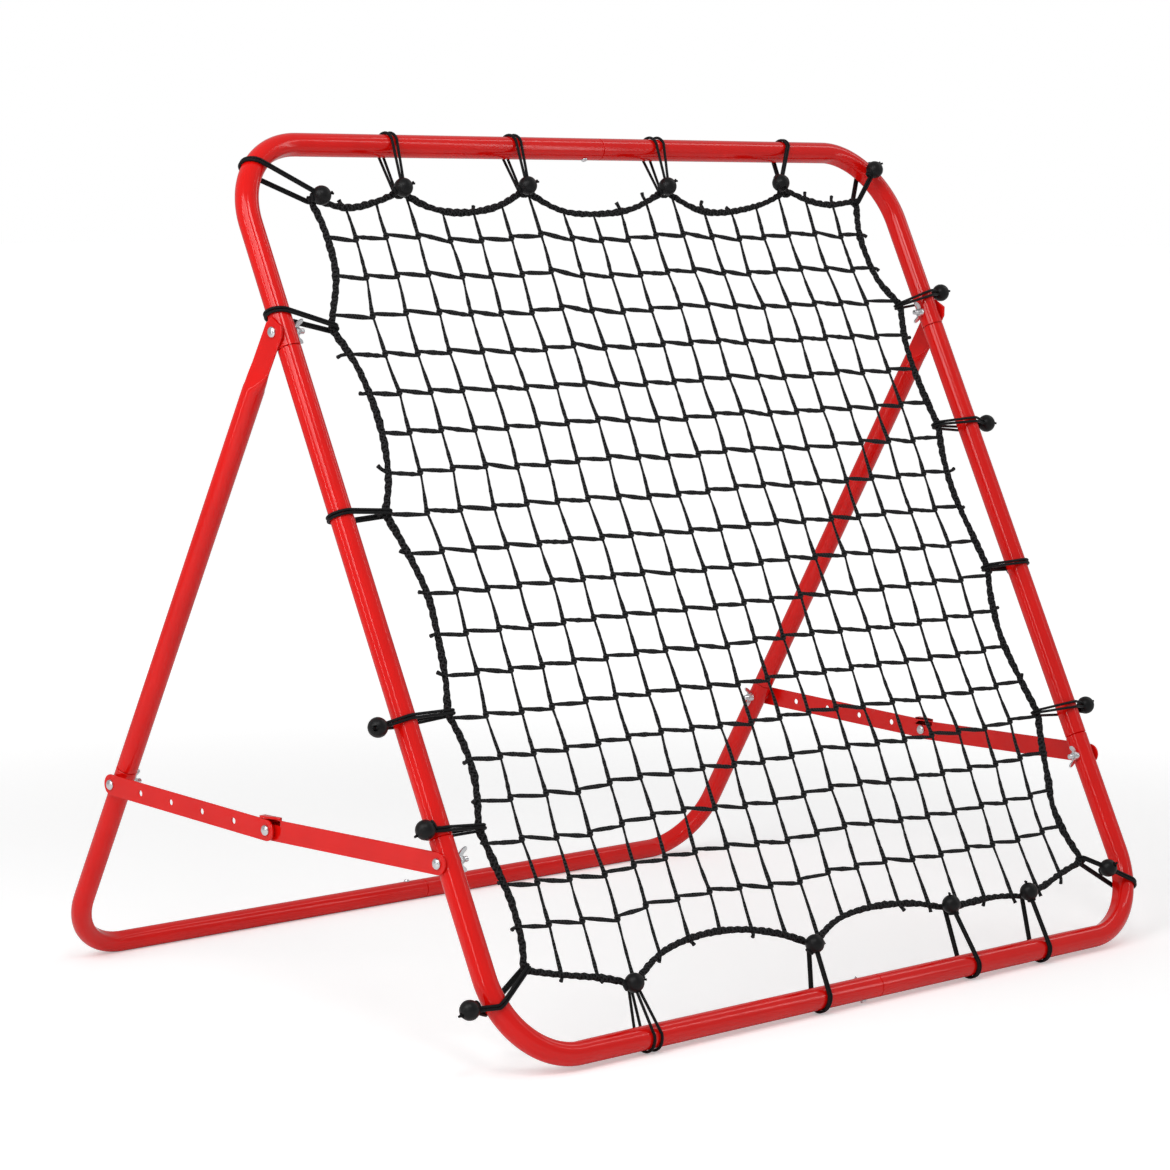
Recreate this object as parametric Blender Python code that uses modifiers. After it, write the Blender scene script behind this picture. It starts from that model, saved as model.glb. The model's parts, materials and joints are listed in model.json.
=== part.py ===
"""Net rebounder: a square tube frame that holds a net on elastic ties and leans on a folding stand.

Metres, +Z up, the net faces -Y. The frame's own plane has u along X, v up the plane from the bottom
rail's centre-line, and w square to it, positive behind the net.
"""
import math

import bmesh
import bpy
from mathutils import Vector

# ---- driving dimensions ----
FRAME_WIDTH = 1.000          # net frame, between tube centre-lines
FRAME_HEIGHT = 1.000
FRAME_TUBE = 0.025           # outer diameter
FRAME_BEND = 0.092           # corner radius of the centre-line
FRAME_TILT = math.radians(26.3)
STAND_TUBE = 0.0235
STAND_BEND = 0.078
WALL = 0.0012
PIVOT_BELOW_TOP = 0.213      # down the frame, where the stand hangs
BRACE_HEIGHT = 0.213         # up the frame, where the front bars bolt on
SEAM_BELOW_TOP = 0.231       # down the frame, where the side tubes plug into the upper corners
LOWER_SEAM = 0.2375          # up the frame, where they plug into the lower ones
SPLICE = 0.031               # beside the middle, where left and right halves plug together
SPIGOT = 0.040               # length of a swaged end
SPLICE_SCREW = 0.025         # from a splice back to its screw
LEG_EXTRA = 0.027            # of a leg, over the frame's length below the pivot
SEAM_ABOVE_FOOT = 0.257      # up the leg, where it plugs into the foot tube
BRACE_ABOVE_FOOT = 0.237     # up the leg, where the rear bars bolt on
PLATE = 0.003                # thickness of a leg's flattened end
PLATE_WIDTH = 0.029
PLATE_REACH = 0.0125         # past the pivot
FLAT_END = 0.040             # down the leg, where its flattened end stops
ROUND_START = 0.068          # down the leg, where it is round again
PLATE_CORNER = 0.019         # width of the flattened end's clipped tip
BAR = 0.002                  # brace bar, thickness and height
BAR_HEIGHT = 0.023
REAR_BAR_HOLES = 6
HOLE_PITCH = 0.0545
BRACE_SAG = 0.0075           # the locked elbow's drop below the line between its ends
LIP_BEHIND = 0.0095          # the stop lip either side of the elbow's bolt
LIP_AHEAD = 0.018
LIP = 0.0025
SPACER = 0.0030
BOLT = 0.006
BOLT_HEAD = 0.0115
BOLT_HEAD_HEIGHT = 0.0034
BOLT_TAIL = 0.0125           # past the seat of its wing nut
WING_HUB = 0.011             # wing nut: foot, top and height of its hub, and its wings
WING_HUB_TOP = 0.0084
WING_HUB_HEIGHT = 0.0065
WING_SPAN = 0.026
WING_HEIGHT = 0.0116
WING = 0.002
NUT = 0.005                  # height of a plain nut
NUT_ACROSS = 0.010
NUT_TAIL = 0.001             # past a plain nut
CHAMFER = 0.0006             # a bolt's tip
SCREW = 0.0035
SCREW_HEAD = 0.007
SCREW_HEAD_HEIGHT = 0.002
SHORT_SCREW = 0.014          # through the head side's wall and the swaged end's
LONG_SCREW = 0.028           # right through both tubes
CORD = 0.0036                # elastic ties
BALL = 0.0208
ROPE = 0.0065                # border rope of the net
STRAND = 0.003               # net cord
NET_CELLS = 13
GAP = 0.0003                 # between touching pieces
TIE_FLAT = 0.1               # share of the cord pressed flat where the frame stands on it
TUBE_SIDES = 12
HOLE_SIDES = 8
CORD_SIDES = 6
WRAP_POINTS = 10             # on a full turn of a tie
BEND_STEPS = 5               # in a tube's bend
END_STEPS = 6                # in a bar's round end
ROUND_STEPS = 10             # round a bolt
SHOULDER = 0.002             # length of a swaged end's step

RED = (0.70, 0.012, 0.012)
ZINC = (0.55, 0.55, 0.56)
BLACK = (0.012, 0.012, 0.013)
OFF_BLACK = (0.02, 0.02, 0.022)

# ---- worked out from them ----
HALF = FRAME_WIDTH / 2
PIVOT_HEIGHT = FRAME_HEIGHT - PIVOT_BELOW_TOP
UPPER_SEAM = FRAME_HEIGHT - SEAM_BELOW_TOP
LEG_LENGTH = PIVOT_HEIGHT + LEG_EXTRA
LEG_SEAM = LEG_LENGTH - SEAM_ABOVE_FOOT
LEG_BRACE = LEG_LENGTH - BRACE_ABOVE_FOOT
FRAME_RADIUS = FRAME_TUBE / 2
STAND_RADIUS = STAND_TUBE / 2
FACET = math.cos(math.pi / TUBE_SIDES)           # flat of a faceted tube against its corner
REST_HEIGHT = FRAME_RADIUS + GAP + CORD * (1 - TIE_FLAT)
FOOT_HEIGHT = STAND_RADIUS * FACET
PIVOT_Z = REST_HEIGHT + PIVOT_HEIGHT * math.cos(FRAME_TILT)
LEG_ANGLE = math.acos((PIVOT_Z - FOOT_HEIGHT) / LEG_LENGTH)
FOOT_Y = PIVOT_HEIGHT * math.sin(FRAME_TILT) + LEG_LENGTH * math.sin(LEG_ANGLE)
ORIGIN_Y = (FOOT_Y + STAND_RADIUS * FACET - FRAME_RADIUS - GAP - CORD) / 2

# Layers outwards from a side tube's centre-line.
PLATE_AT = FRAME_RADIUS + GAP
FRONT_BAR_AT = FRAME_RADIUS + GAP
SPACER_AT = FRONT_BAR_AT + BAR + GAP
REAR_BAR_AT = SPACER_AT + SPACER + GAP
LEG_OFFSET = PLATE_AT + PLATE / 2
BOLT_HOLE = (BOLT / 2 + GAP) / math.cos(math.pi / HOLE_SIDES)
SCREW_HOLE = (SCREW / 2 + GAP) / math.cos(math.pi / HOLE_SIDES)

UP_FRAME = Vector((0, math.sin(FRAME_TILT), math.cos(FRAME_TILT)))
BEHIND = Vector((0, math.cos(FRAME_TILT), -math.sin(FRAME_TILT)))
DOWN_LEG = Vector((0, math.sin(LEG_ANGLE), -math.cos(LEG_ANGLE)))
ACROSS_LEG = Vector((0, math.cos(LEG_ANGLE), math.sin(LEG_ANGLE)))
X_AXIS = Vector((1, 0, 0))

# The border rope's route in the frame's plane, (u, v), anticlockwise from the bottom left corner.
# It runs to a point at each tie and bows inwards between them.
ROPE_BOTTOM = (
    (-0.447, 0.092), (-0.400, 0.080), (-0.350, 0.069), (-0.310, 0.056), (-0.258, 0.082), (-0.196, 0.092),
    (-0.137, 0.089), (-0.083, 0.076), (-0.041, 0.058), (0.008, 0.079), (0.066, 0.085), (0.130, 0.080),
    (0.186, 0.066), (0.223, 0.068), (0.270, 0.068), (0.318, 0.062), (0.356, 0.070), (0.392, 0.080),
)
ROPE_RIGHT = (
    (0.434, 0.089), (0.420, 0.125), (0.416, 0.160), (0.424, 0.192), (0.434, 0.234), (0.446, 0.272),
    (0.436, 0.315), (0.428, 0.367), (0.434, 0.417), (0.447, 0.456), (0.440, 0.500), (0.433, 0.550),
    (0.436, 0.596), (0.447, 0.640), (0.440, 0.690), (0.440, 0.745), (0.454, 0.797), (0.430, 0.831),
    (0.424, 0.870), (0.427, 0.900),
)
ROPE_TOP = (
    (0.440, 0.936), (0.391, 0.931), (0.357, 0.936), (0.323, 0.949), (0.270, 0.931), (0.205, 0.921),
    (0.160, 0.925), (0.117, 0.948), (0.053, 0.925), (-0.013, 0.919), (-0.060, 0.925), (-0.102, 0.948),
    (-0.152, 0.928), (-0.206, 0.921), (-0.248, 0.927), (-0.285, 0.946), (-0.322, 0.934), (-0.366, 0.927),
)
ROPE_LEFT = (
    (-0.412, 0.938), (-0.405, 0.900), (-0.409, 0.849), (-0.437, 0.790), (-0.420, 0.750), (-0.413, 0.708),
    (-0.414, 0.663), (-0.424, 0.619), (-0.442, 0.582), (-0.428, 0.535), (-0.420, 0.490), (-0.424, 0.443),
    (-0.431, 0.400), (-0.442, 0.364), (-0.434, 0.330), (-0.434, 0.290), (-0.448, 0.242), (-0.443, 0.208),
    (-0.436, 0.165), (-0.438, 0.123),
)
ROPE_ROUTE = ROPE_BOTTOM + ROPE_RIGHT + ROPE_TOP + ROPE_LEFT

# Each tie: where it goes round the tube (u, v), where it goes round the border rope (u, v),
# and its ball's middle (u, v, w).
TIES = {
    "tie_top_1": ((-0.282, 1.000), (-0.285, 0.946), (-0.291, 0.944, -0.0145)),
    "tie_top_2": ((-0.101, 1.000), (-0.102, 0.948), (-0.109, 0.947, -0.0145)),
    "tie_top_3": ((0.120, 1.000), (0.117, 0.948), (0.109, 0.947, -0.0145)),
    "tie_top_4": ((0.335, 1.000), (0.323, 0.949), (0.300, 0.952, -0.0150)),
    "tie_top_right": ((0.473, 0.973), (0.440, 0.936), (0.463, 0.966, -0.0245)),
    "tie_right_1": ((0.500, 0.806), (0.454, 0.797), (0.536, 0.812, 0.0)),
    "tie_right_2": ((0.500, 0.639), (0.447, 0.640), (0.536, 0.638, 0.0)),
    "tie_right_3": ((0.500, 0.455), (0.447, 0.456), (0.517, 0.457, 0.0180)),
    "tie_right_4": ((0.500, 0.272), (0.446, 0.272), (0.536, 0.272, 0.0)),
    "tie_bottom_right": ((0.4918, 0.054), (0.434, 0.089), (0.455, 0.072, -0.0160)),
    "tie_bottom_4": ((0.312, 0.000), (0.318, 0.062), (0.308, 0.064, -0.0145)),
    "tie_bottom_3": ((0.188, 0.000), (0.186, 0.066), (0.175, 0.068, -0.0145)),
    "tie_bottom_2": ((-0.055, 0.000), (-0.041, 0.058), (-0.053, 0.056, -0.0145)),
    "tie_bottom_1": ((-0.312, 0.000), (-0.310, 0.056), (-0.322, 0.055, -0.0145)),
    "tie_bottom_left": ((-0.4955, 0.063), (-0.447, 0.092), (-0.530, 0.064, 0.0)),
    "tie_left_4": ((-0.500, 0.2435), (-0.448, 0.242), (-0.5226, 0.247, -0.0075)),
    "tie_left_3": ((-0.500, 0.362), (-0.442, 0.364), (-0.536, 0.359, 0.0)),
    "tie_left_2": ((-0.500, 0.583), (-0.442, 0.582), (-0.483, 0.583, 0.0180)),
    "tie_left_1": ((-0.500, 0.8055), (-0.437, 0.790), (-0.483, 0.810, 0.0185)),
    "tie_top_left": ((-0.473, 0.973), (-0.412, 0.938), (-0.408, 0.934, -0.0150)),
}
ROPE_CLEAR = 0.0016          # a tie round the border rope, which bends there
CORNER_ROPE_CLEAR = 0.0080   # where the rope turns a corner of the net
BEND_CLEAR = 0.0009          # a tie round a corner of the frame
END_CLEAR = 0.0075           # a net cord's end beside a tie
NET_CLEAR = 0.0022           # a net cord's end short of the slanting rope


# ---- places ----
def plane_point(u, v, w=0.0):
    """A point given in the net frame's own plane."""
    return Vector((u, -ORIGIN_Y, REST_HEIGHT)) + UP_FRAME * v + BEHIND * w


def leg_offset(down):
    """How far outside the side tube's centre-line a leg is: flat against it, then leaning in."""
    return LEG_OFFSET * (1 - max(down - FLAT_END, 0.0) / (LEG_LENGTH - FLAT_END))


def leg_point(side, down, across=0.0, outwards=0.0):
    """A point down a leg, across it in the fold's plane, or outwards."""
    point = plane_point(0, PIVOT_HEIGHT) + DOWN_LEG * down + ACROSS_LEG * across
    return point + X_AXIS * side * (HALF + leg_offset(down) + outwards)


def side_point(side, point, outwards=0.0):
    """A point of the fold's plane, moved to one side of the frame."""
    return Vector((side * (HALF + outwards), point.y, point.z))


PIVOT = plane_point(0, PIVOT_HEIGHT)
FRONT_END = plane_point(0, BRACE_HEIGHT)
REAR_END = PIVOT + DOWN_LEG * LEG_BRACE
REAR_BAR_LENGTH = HOLE_PITCH * (REAR_BAR_HOLES - 1)
CHORD = REAR_END - FRONT_END
ALONG_CHORD = CHORD.normalized()
BELOW_CHORD = Vector((0, ALONG_CHORD.z, -ALONG_CHORD.y))
ELBOW = (REAR_END - ALONG_CHORD * math.sqrt(REAR_BAR_LENGTH**2 - BRACE_SAG**2)
         + BELOW_CHORD * BRACE_SAG)


# ---- scene ----
for old in list(bpy.data.objects):
    bpy.data.objects.remove(old, do_unlink=True)

parts = bpy.data.collections.new("net_rebounder")
cutters = bpy.data.collections.new("cutters")
bpy.context.scene.collection.children.link(parts)
bpy.context.scene.collection.children.link(cutters)


def material(name, colour, roughness, metallic=0.0, coat=0.0):
    """A Principled material."""
    made = bpy.data.materials.new(name)
    made.use_nodes = True
    shader = made.node_tree.nodes["Principled BSDF"]
    shader.inputs["Base Color"].default_value = (*colour, 1)
    shader.inputs["Roughness"].default_value = roughness
    shader.inputs["Metallic"].default_value = metallic
    shader.inputs["Coat Weight"].default_value = coat
    return made


PAINT = material("red_paint", RED, 0.25, coat=0.5)
PLATING = material("zinc_plate", ZINC, 0.35, metallic=1.0)
ELASTIC = material("elastic_cord", OFF_BLACK, 0.8)
NET_CORD = material("net_cord", BLACK, 0.85)
ROPE_YARN = material("rope", OFF_BLACK, 0.8)


def empty(name, location):
    """An empty on a joint's axis, which carries the pieces that turn there."""
    made = bpy.data.objects.new(name, None)
    made.location = location
    parts.objects.link(made)
    return made


def add(name, mesh, finish, location=(0, 0, 0), rotation=(0, 0, 0), carrier=None):
    """A named piece, smooth where it is round."""
    mesh.materials.clear()
    mesh.materials.append(finish)
    mesh.shade_smooth()
    mesh.set_sharp_from_angle(angle=math.radians(40))
    made = bpy.data.objects.new(name, mesh)
    parts.objects.link(made)
    made.location = Vector(location)
    made.rotation_euler = rotation
    if carrier:
        made.parent = carrier
        made.location = Vector(location) - carrier.location
    return made


def evaluated_mesh(source):
    """The mesh that an object makes with its modifiers, welded; the object is used up."""
    source_data = source.data
    graph = bpy.context.evaluated_depsgraph_get()
    mesh = bpy.data.meshes.new_from_object(source.evaluated_get(graph))
    mesh.transform(source.matrix_world)
    build = bmesh.new()
    build.from_mesh(mesh)
    bmesh.ops.remove_doubles(build, verts=build.verts, dist=0.00001)
    build.to_mesh(mesh)
    build.free()
    bpy.data.objects.remove(source, do_unlink=True)
    if source_data.users == 0 and isinstance(source_data, bpy.types.Curve):
        bpy.data.curves.remove(source_data)
    return mesh


def loose(name, data):
    """An unfinished shape, to be turned into a mesh."""
    made = bpy.data.objects.new(name, data)
    parts.objects.link(made)
    return made


def swept_mesh(name, points, radii, sides, closed=False, tilt=0.0):
    """A tube along points, with its radius at each of them; open ended unless it is a loop."""
    curve = bpy.data.curves.new(name, "CURVE")
    curve.dimensions = "3D"
    curve.bevel_depth = 1.0
    curve.bevel_resolution = (sides - 4) // 2
    spline = curve.splines.new("POLY")
    spline.points.add(len(points) - 1)
    for place, point, radius in zip(spline.points, points, radii):
        place.co = (*point, 1)
        place.radius = radius
        place.tilt = tilt
    spline.use_cyclic_u = closed
    made = loose(name, curve)
    bpy.context.view_layer.update()
    return evaluated_mesh(made)


def turned_mesh(name, profile, steps, ring=False):
    """A round shape from its (radius, height) profile, which runs down the outer side."""
    mesh = bpy.data.meshes.new(name)
    edges = [(i, i + 1) for i in range(len(profile) - 1)]
    if ring:
        edges.append((len(profile) - 1, 0))
    mesh.from_pydata([(radius, 0, height) for radius, height in profile], edges, [])
    made = loose(name, mesh)
    screw = made.modifiers.new("turn", "SCREW")
    screw.steps = steps
    screw.render_steps = steps
    screw.use_merge_vertices = True
    screw.merge_threshold = 0.00001
    bpy.context.view_layer.update()
    return evaluated_mesh(made)


def cylinder_cutter(name, radius, length, location, direction):
    """A round hole's cutter."""
    build = bmesh.new()
    bmesh.ops.create_cone(build, cap_ends=True, segments=HOLE_SIDES, radius1=radius, radius2=radius,
                          depth=length)
    mesh = bpy.data.meshes.new(name)
    build.to_mesh(mesh)
    build.free()
    made = bpy.data.objects.new(name, mesh)
    cutters.objects.link(made)
    made.location = location
    made.rotation_mode = "QUATERNION"
    made.rotation_quaternion = direction.to_track_quat("Z", "Y")
    made.hide_render = True
    made.display_type = "WIRE"
    return made


def combine(target, other, operation):
    """A Boolean modifier that stays on its object."""
    boolean = target.modifiers.new(f"{operation.lower()}_{other.name}", "BOOLEAN")
    boolean.operation = operation
    boolean.object = other
    boolean.solver = "EXACT"


def fillet(start, corner, end, radius, steps):
    """The points of a round bend from start to end about a corner, both ends included."""
    to_start = (start - corner).normalized()
    to_end = (end - corner).normalized()
    half = to_start.angle(to_end) / 2
    centre = corner + (to_start + to_end).normalized() * radius / math.sin(half)
    first = (corner + to_start * radius / math.tan(half) - centre).normalized()
    last = (corner + to_end * radius / math.tan(half) - centre).normalized()
    return [centre + first.slerp(last, i / steps) * radius for i in range(steps + 1)]


# ---- bolts' holes ----
def bolt_cutter(name, point, side):
    return cylinder_cutter(f"hole_{name}", BOLT_HOLE, 4 * FRAME_TUBE, side_point(side, point), X_AXIS)


SIDES = {"left": -1, "right": 1}
PIVOT_HOLES = {name: bolt_cutter(f"pivot_{name}", PIVOT, side) for name, side in SIDES.items()}
FRONT_HOLES = {name: bolt_cutter(f"front_{name}", FRONT_END, side) for name, side in SIDES.items()}
REAR_HOLES = {name: bolt_cutter(f"rear_{name}", REAR_END, side) for name, side in SIDES.items()}

SCREW_U = SPLICE - SPLICE_SCREW
FOOT_MIDDLE = Vector((SCREW_U, FOOT_Y - ORIGIN_Y, FOOT_HEIGHT))
SCREWS = {
    "top_screw": (plane_point(SCREW_U, FRAME_HEIGHT), -UP_FRAME, FRAME_RADIUS, SHORT_SCREW),
    "bottom_screw": (plane_point(SCREW_U, 0), -UP_FRAME, FRAME_RADIUS, LONG_SCREW),
    "foot_screw": (FOOT_MIDDLE, Vector((0, 0, 1)), STAND_RADIUS, SHORT_SCREW),
}
SCREW_HOLES = {
    name: cylinder_cutter(f"hole_{name}", SCREW_HOLE, 2 * length, middle + out * outer, out)
    for name, (middle, out, outer, length) in SCREWS.items()
}


# ---- tubes ----
def spigot_radius(outer):
    """A swaged end's radius, loose in the next tube's faceted bore."""
    return (outer - WALL) * FACET - GAP


def spigot_points(seam, along, outer):
    """A swaged end past a seam: its shoulder, then its narrow part. Points and radii."""
    narrow = spigot_radius(outer)
    points = [seam - along * (GAP + SHOULDER), seam - along * GAP, seam + along * SPIGOT]
    return points, [outer, narrow, narrow]


def tube(name, points, radii, tilt=0.0, carrier=None):
    """A painted tube with its wall inside the swept surface."""
    mesh = swept_mesh(name, points, radii, TUBE_SIDES, tilt=tilt)
    made = add(name, mesh, PAINT, carrier=carrier)
    wall = made.modifiers.new("wall", "SOLIDIFY")
    wall.thickness = WALL
    wall.offset = -1
    wall.use_even_offset = True
    return made


def corner_tube(name, start, corner, end, outer, bend, male, tilt=0.0, carrier=None):
    """A tube bent once. Its end at the splice is swaged if it is the male half."""
    points = [start, *fillet(start, corner, end, bend, BEND_STEPS)]
    radii = [outer] * len(points)
    along = (end - corner).normalized()
    if male:
        more_points, more_radii = spigot_points(end, along, outer)
        points += more_points
        radii += more_radii
    else:
        points.append(end)
        radii.append(outer)
    return tube(name, points, radii, tilt, carrier)


def net_frame_tubes():
    """Top and bottom corner tubes and the straight side tubes between them."""
    for name, side in SIDES.items():
        male = side > 0
        for level, rail, seam in (("top", FRAME_HEIGHT, UPPER_SEAM), ("bottom", 0.0, LOWER_SEAM)):
            made = corner_tube(f"frame_{level}_{name}", plane_point(side * HALF, seam),
                               plane_point(side * HALF, rail), plane_point(SPLICE, rail),
                               FRAME_RADIUS, FRAME_BEND, male)
            combine(made, PIVOT_HOLES[name] if level == "top" else FRONT_HOLES[name], "DIFFERENCE")
            combine(made, SCREW_HOLES[f"{level}_screw"], "DIFFERENCE")
        upper, upper_radii = spigot_points(plane_point(side * HALF, UPPER_SEAM), UP_FRAME, FRAME_RADIUS)
        lower, lower_radii = spigot_points(plane_point(side * HALF, LOWER_SEAM), -UP_FRAME, FRAME_RADIUS)
        made = tube(f"frame_side_{name}", lower[::-1] + upper, lower_radii[::-1] + upper_radii)
        combine(made, PIVOT_HOLES[name], "DIFFERENCE")
        combine(made, FRONT_HOLES[name], "DIFFERENCE")


# ---- stand ----
stand_pivot = empty("stand_pivot", PIVOT)


def ring(side, down, half_width, half_depth, flatness):
    """One section of a leg: round at flatness 1, a flat plate with thin edges at 2."""
    points = []
    for i in range(TUBE_SIDES):
        angle = 2 * math.pi * i / TUBE_SIDES
        depth = max(-1.0, min(1.0, math.sin(angle) * flatness))
        points.append(leg_point(side, down, half_width * math.cos(angle), half_depth * depth))
    return points


def leg_mesh(name, side):
    """A tube lofted from its flattened end to its swaged one, and back up inside."""
    narrow = spigot_radius(STAND_RADIUS)
    bore = STAND_RADIUS - WALL
    half_plate = PLATE / 2
    sections = [
        (-PLATE_REACH, PLATE_CORNER / 2, half_plate, 2.0),
        (-PLATE_REACH / 4, PLATE_WIDTH / 2, half_plate, 2.0),
        (FLAT_END, PLATE_WIDTH / 2, half_plate, 2.0),
        (ROUND_START, STAND_RADIUS, STAND_RADIUS, 1.0),
        (LEG_SEAM - GAP - SHOULDER, STAND_RADIUS, STAND_RADIUS, 1.0),
        (LEG_SEAM - GAP, narrow, narrow, 1.0),
        (LEG_SEAM + SPIGOT, narrow, narrow, 1.0),
        (LEG_SEAM + SPIGOT, narrow - WALL, narrow - WALL, 1.0),
        (LEG_SEAM - GAP - SHOULDER, narrow - WALL, narrow - WALL, 1.0),
        (LEG_SEAM - GAP - 2 * SHOULDER, bore, bore, 1.0),
        (ROUND_START, bore, bore, 1.0),
    ]
    build = bmesh.new()
    rings = [[build.verts.new(point) for point in ring(side, *section)] for section in sections]
    for lower, upper in zip(rings, rings[1:]):
        for i in range(TUBE_SIDES):
            j = (i + 1) % TUBE_SIDES
            build.faces.new((lower[i], lower[j], upper[j], upper[i]))
    build.faces.new(rings[0])
    build.faces.new(rings[-1])
    bmesh.ops.recalc_face_normals(build, faces=build.faces)
    mesh = bpy.data.meshes.new(name)
    build.to_mesh(mesh)
    build.free()
    return mesh


def ground_turn(side, start, corner, end):
    """How far a foot tube's section is turned about itself, so that one of its flats is level."""
    points = [start, *fillet(start, corner, end, STAND_BEND, BEND_STEPS), end]
    gauge = swept_mesh("gauge", points, [STAND_RADIUS] * len(points), TUBE_SIDES)
    rail = [face.normal for face in gauge.polygons if abs(face.normal.x) < 0.001]
    lowest = min(rail, key=lambda normal: normal.z)
    lean = math.atan2(lowest.y, -lowest.z)
    bpy.data.meshes.remove(gauge)
    return side * lean


def stand():
    """Two legs that plug into a foot tube made in two halves."""
    for name, side in SIDES.items():
        leg = add(f"leg_{name}", leg_mesh(f"leg_{name}", side), PAINT, carrier=stand_pivot)
        combine(leg, PIVOT_HOLES[name], "DIFFERENCE")
        combine(leg, REAR_HOLES[name], "DIFFERENCE")
        ends = (leg_point(side, LEG_SEAM), leg_point(side, LEG_LENGTH),
                Vector((SPLICE, FOOT_MIDDLE.y, FOOT_HEIGHT)))
        foot = corner_tube(f"foot_{name}", *ends, STAND_RADIUS, STAND_BEND, side > 0,
                           ground_turn(side, *ends), stand_pivot)
        combine(foot, REAR_HOLES[name], "DIFFERENCE")
        combine(foot, SCREW_HOLES["foot_screw"], "DIFFERENCE")


# ---- brace bars ----
front_bar_pivot = empty("front_bar_pivot", FRONT_END)
elbow_pivot = empty("elbow_pivot", ELBOW)


def bar_mesh(name, length, holes):
    """A flat bar along local X in the XY plane, round ended, with holes at the given distances."""
    curve = bpy.data.curves.new(name, "CURVE")
    curve.dimensions = "2D"
    curve.fill_mode = "BOTH"
    curve.extrude = BAR / 2
    radius = BAR_HEIGHT / 2
    outline = []
    for centre, turn in ((length, -math.pi / 2), (0.0, math.pi / 2)):
        for i in range(END_STEPS + 1):
            angle = turn + math.pi * i / END_STEPS
            outline.append((centre + radius * math.cos(angle), radius * math.sin(angle)))
    loops = [outline]
    for hole in holes:
        turns = [2 * math.pi * i / HOLE_SIDES for i in range(HOLE_SIDES)]
        loops.append([(hole + BOLT_HOLE * math.cos(a), BOLT_HOLE * math.sin(a)) for a in turns])
    for loop in loops:
        spline = curve.splines.new("POLY")
        spline.points.add(len(loop) - 1)
        for place, (x, y) in zip(spline.points, loop):
            place.co = (x, y, 0, 1)
        spline.use_cyclic_u = True
    made = loose(name, curve)
    bpy.context.view_layer.update()
    return evaluated_mesh(made)


def block_mesh(name, size, middle):
    """A box."""
    build = bmesh.new()
    bmesh.ops.create_cube(build, size=1.0)
    bmesh.ops.scale(build, vec=size, verts=build.verts)
    bmesh.ops.translate(build, vec=middle, verts=build.verts)
    mesh = bpy.data.meshes.new(name)
    build.to_mesh(mesh)
    build.free()
    return mesh


def add_stop_lip(bar, name, side, length):
    """A tab on a front bar's top edge, folded outwards over the rear bar: its root, then its flange."""
    long = LIP_AHEAD + LIP_BEHIND
    middle = length + (LIP_BEHIND - LIP_AHEAD) / 2
    elbow = (ELBOW - FRONT_END).angle(REAR_END - ELBOW)
    top = BAR_HEIGHT / 2 / math.cos(elbow) + LIP_BEHIND * math.tan(elbow) + GAP + LIP
    flange = REAR_BAR_AT + BAR + GAP - FRONT_BAR_AT
    low = BAR_HEIGHT / 3
    root = block_mesh("root", (long, top - low, BAR), (middle, (top + low) / 2, 0))
    tab = block_mesh("tab", (long, LIP, flange), (middle, top - LIP / 2, side * (flange - BAR) / 2))
    combine(bar, helper(f"lip_root_{name}", root, bar), "UNION")
    combine(bar, helper(f"lip_tab_{name}", tab, bar), "UNION")


def helper(name, mesh, like):
    """A shape that a Boolean adds or takes away, in the place of the piece that it works on."""
    made = bpy.data.objects.new(name, mesh)
    cutters.objects.link(made)
    made.hide_render = True
    made.display_type = "WIRE"
    bpy.context.view_layer.update()
    made.matrix_world = like.matrix_world
    return made


def laid_bar(name, mesh, side, start, end, outwards, carrier):
    """A bar in its layer, from start to end."""
    made = add(name, mesh, PAINT, side_point(side, start, outwards + BAR / 2), carrier=carrier)
    made.rotation_mode = "QUATERNION"
    turn = Vector((0, 1, 0)).rotation_difference(end - start)
    made.rotation_quaternion = turn @ BAR_FRAME
    return made


# Lays a bar's local X along world Y, its local Y up and its local Z along world X.
BAR_FRAME = X_AXIS.to_track_quat("Z", "Y")


def braces():
    """Front bars from the frame to the elbow, and rear bars from the elbow to the legs."""
    front_length = (ELBOW - FRONT_END).length
    holes = [HOLE_PITCH * i for i in range(REAR_BAR_HOLES)]
    for name, side in SIDES.items():
        front = laid_bar(f"front_bar_{name}", bar_mesh("front_bar", front_length, [0, front_length]),
                         side, FRONT_END, ELBOW, FRONT_BAR_AT, front_bar_pivot)
        laid_bar(f"rear_bar_{name}", bar_mesh("rear_bar", REAR_BAR_LENGTH, holes),
                 side, ELBOW, REAR_END, REAR_BAR_AT, elbow_pivot)
        add_stop_lip(front, name, side, front_length)


# ---- fasteners ----
# A bolt head's (radius, height) and half a wing's (out, up) outline, as shares of their sizes.
DOME = ((0.0, 1.0), (0.45, 0.9), (0.8, 0.6), (1.0, 0.15), (1.0, 0.0))
WING_OUTLINE = ((0.29, 0.07), (0.60, 0.17), (0.86, 0.50), (1.0, 0.84), (0.90, 1.0), (0.68, 0.90),
                (0.48, 0.60), (0.29, 0.50))


def bolt_mesh(name, head_from, tail_at, collar=None):
    """A dome-headed bolt along local Z, with its head's seat at head_from, or with a collar for a head."""
    radius = BOLT / 2
    profile = []
    if collar is None:
        profile += [(BOLT_HEAD / 2 * r, head_from + BOLT_HEAD_HEIGHT * h) for r, h in DOME]
        profile.append((radius, head_from))
    else:
        low, high = collar
        profile += [(0.0, high), (BOLT_HEAD / 2, high), (BOLT_HEAD / 2, low), (radius, low)]
    profile += [(radius, tail_at + CHAMFER), (radius - CHAMFER, tail_at), (0.0, tail_at)]
    return turned_mesh(name, profile, ROUND_STEPS)


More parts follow.
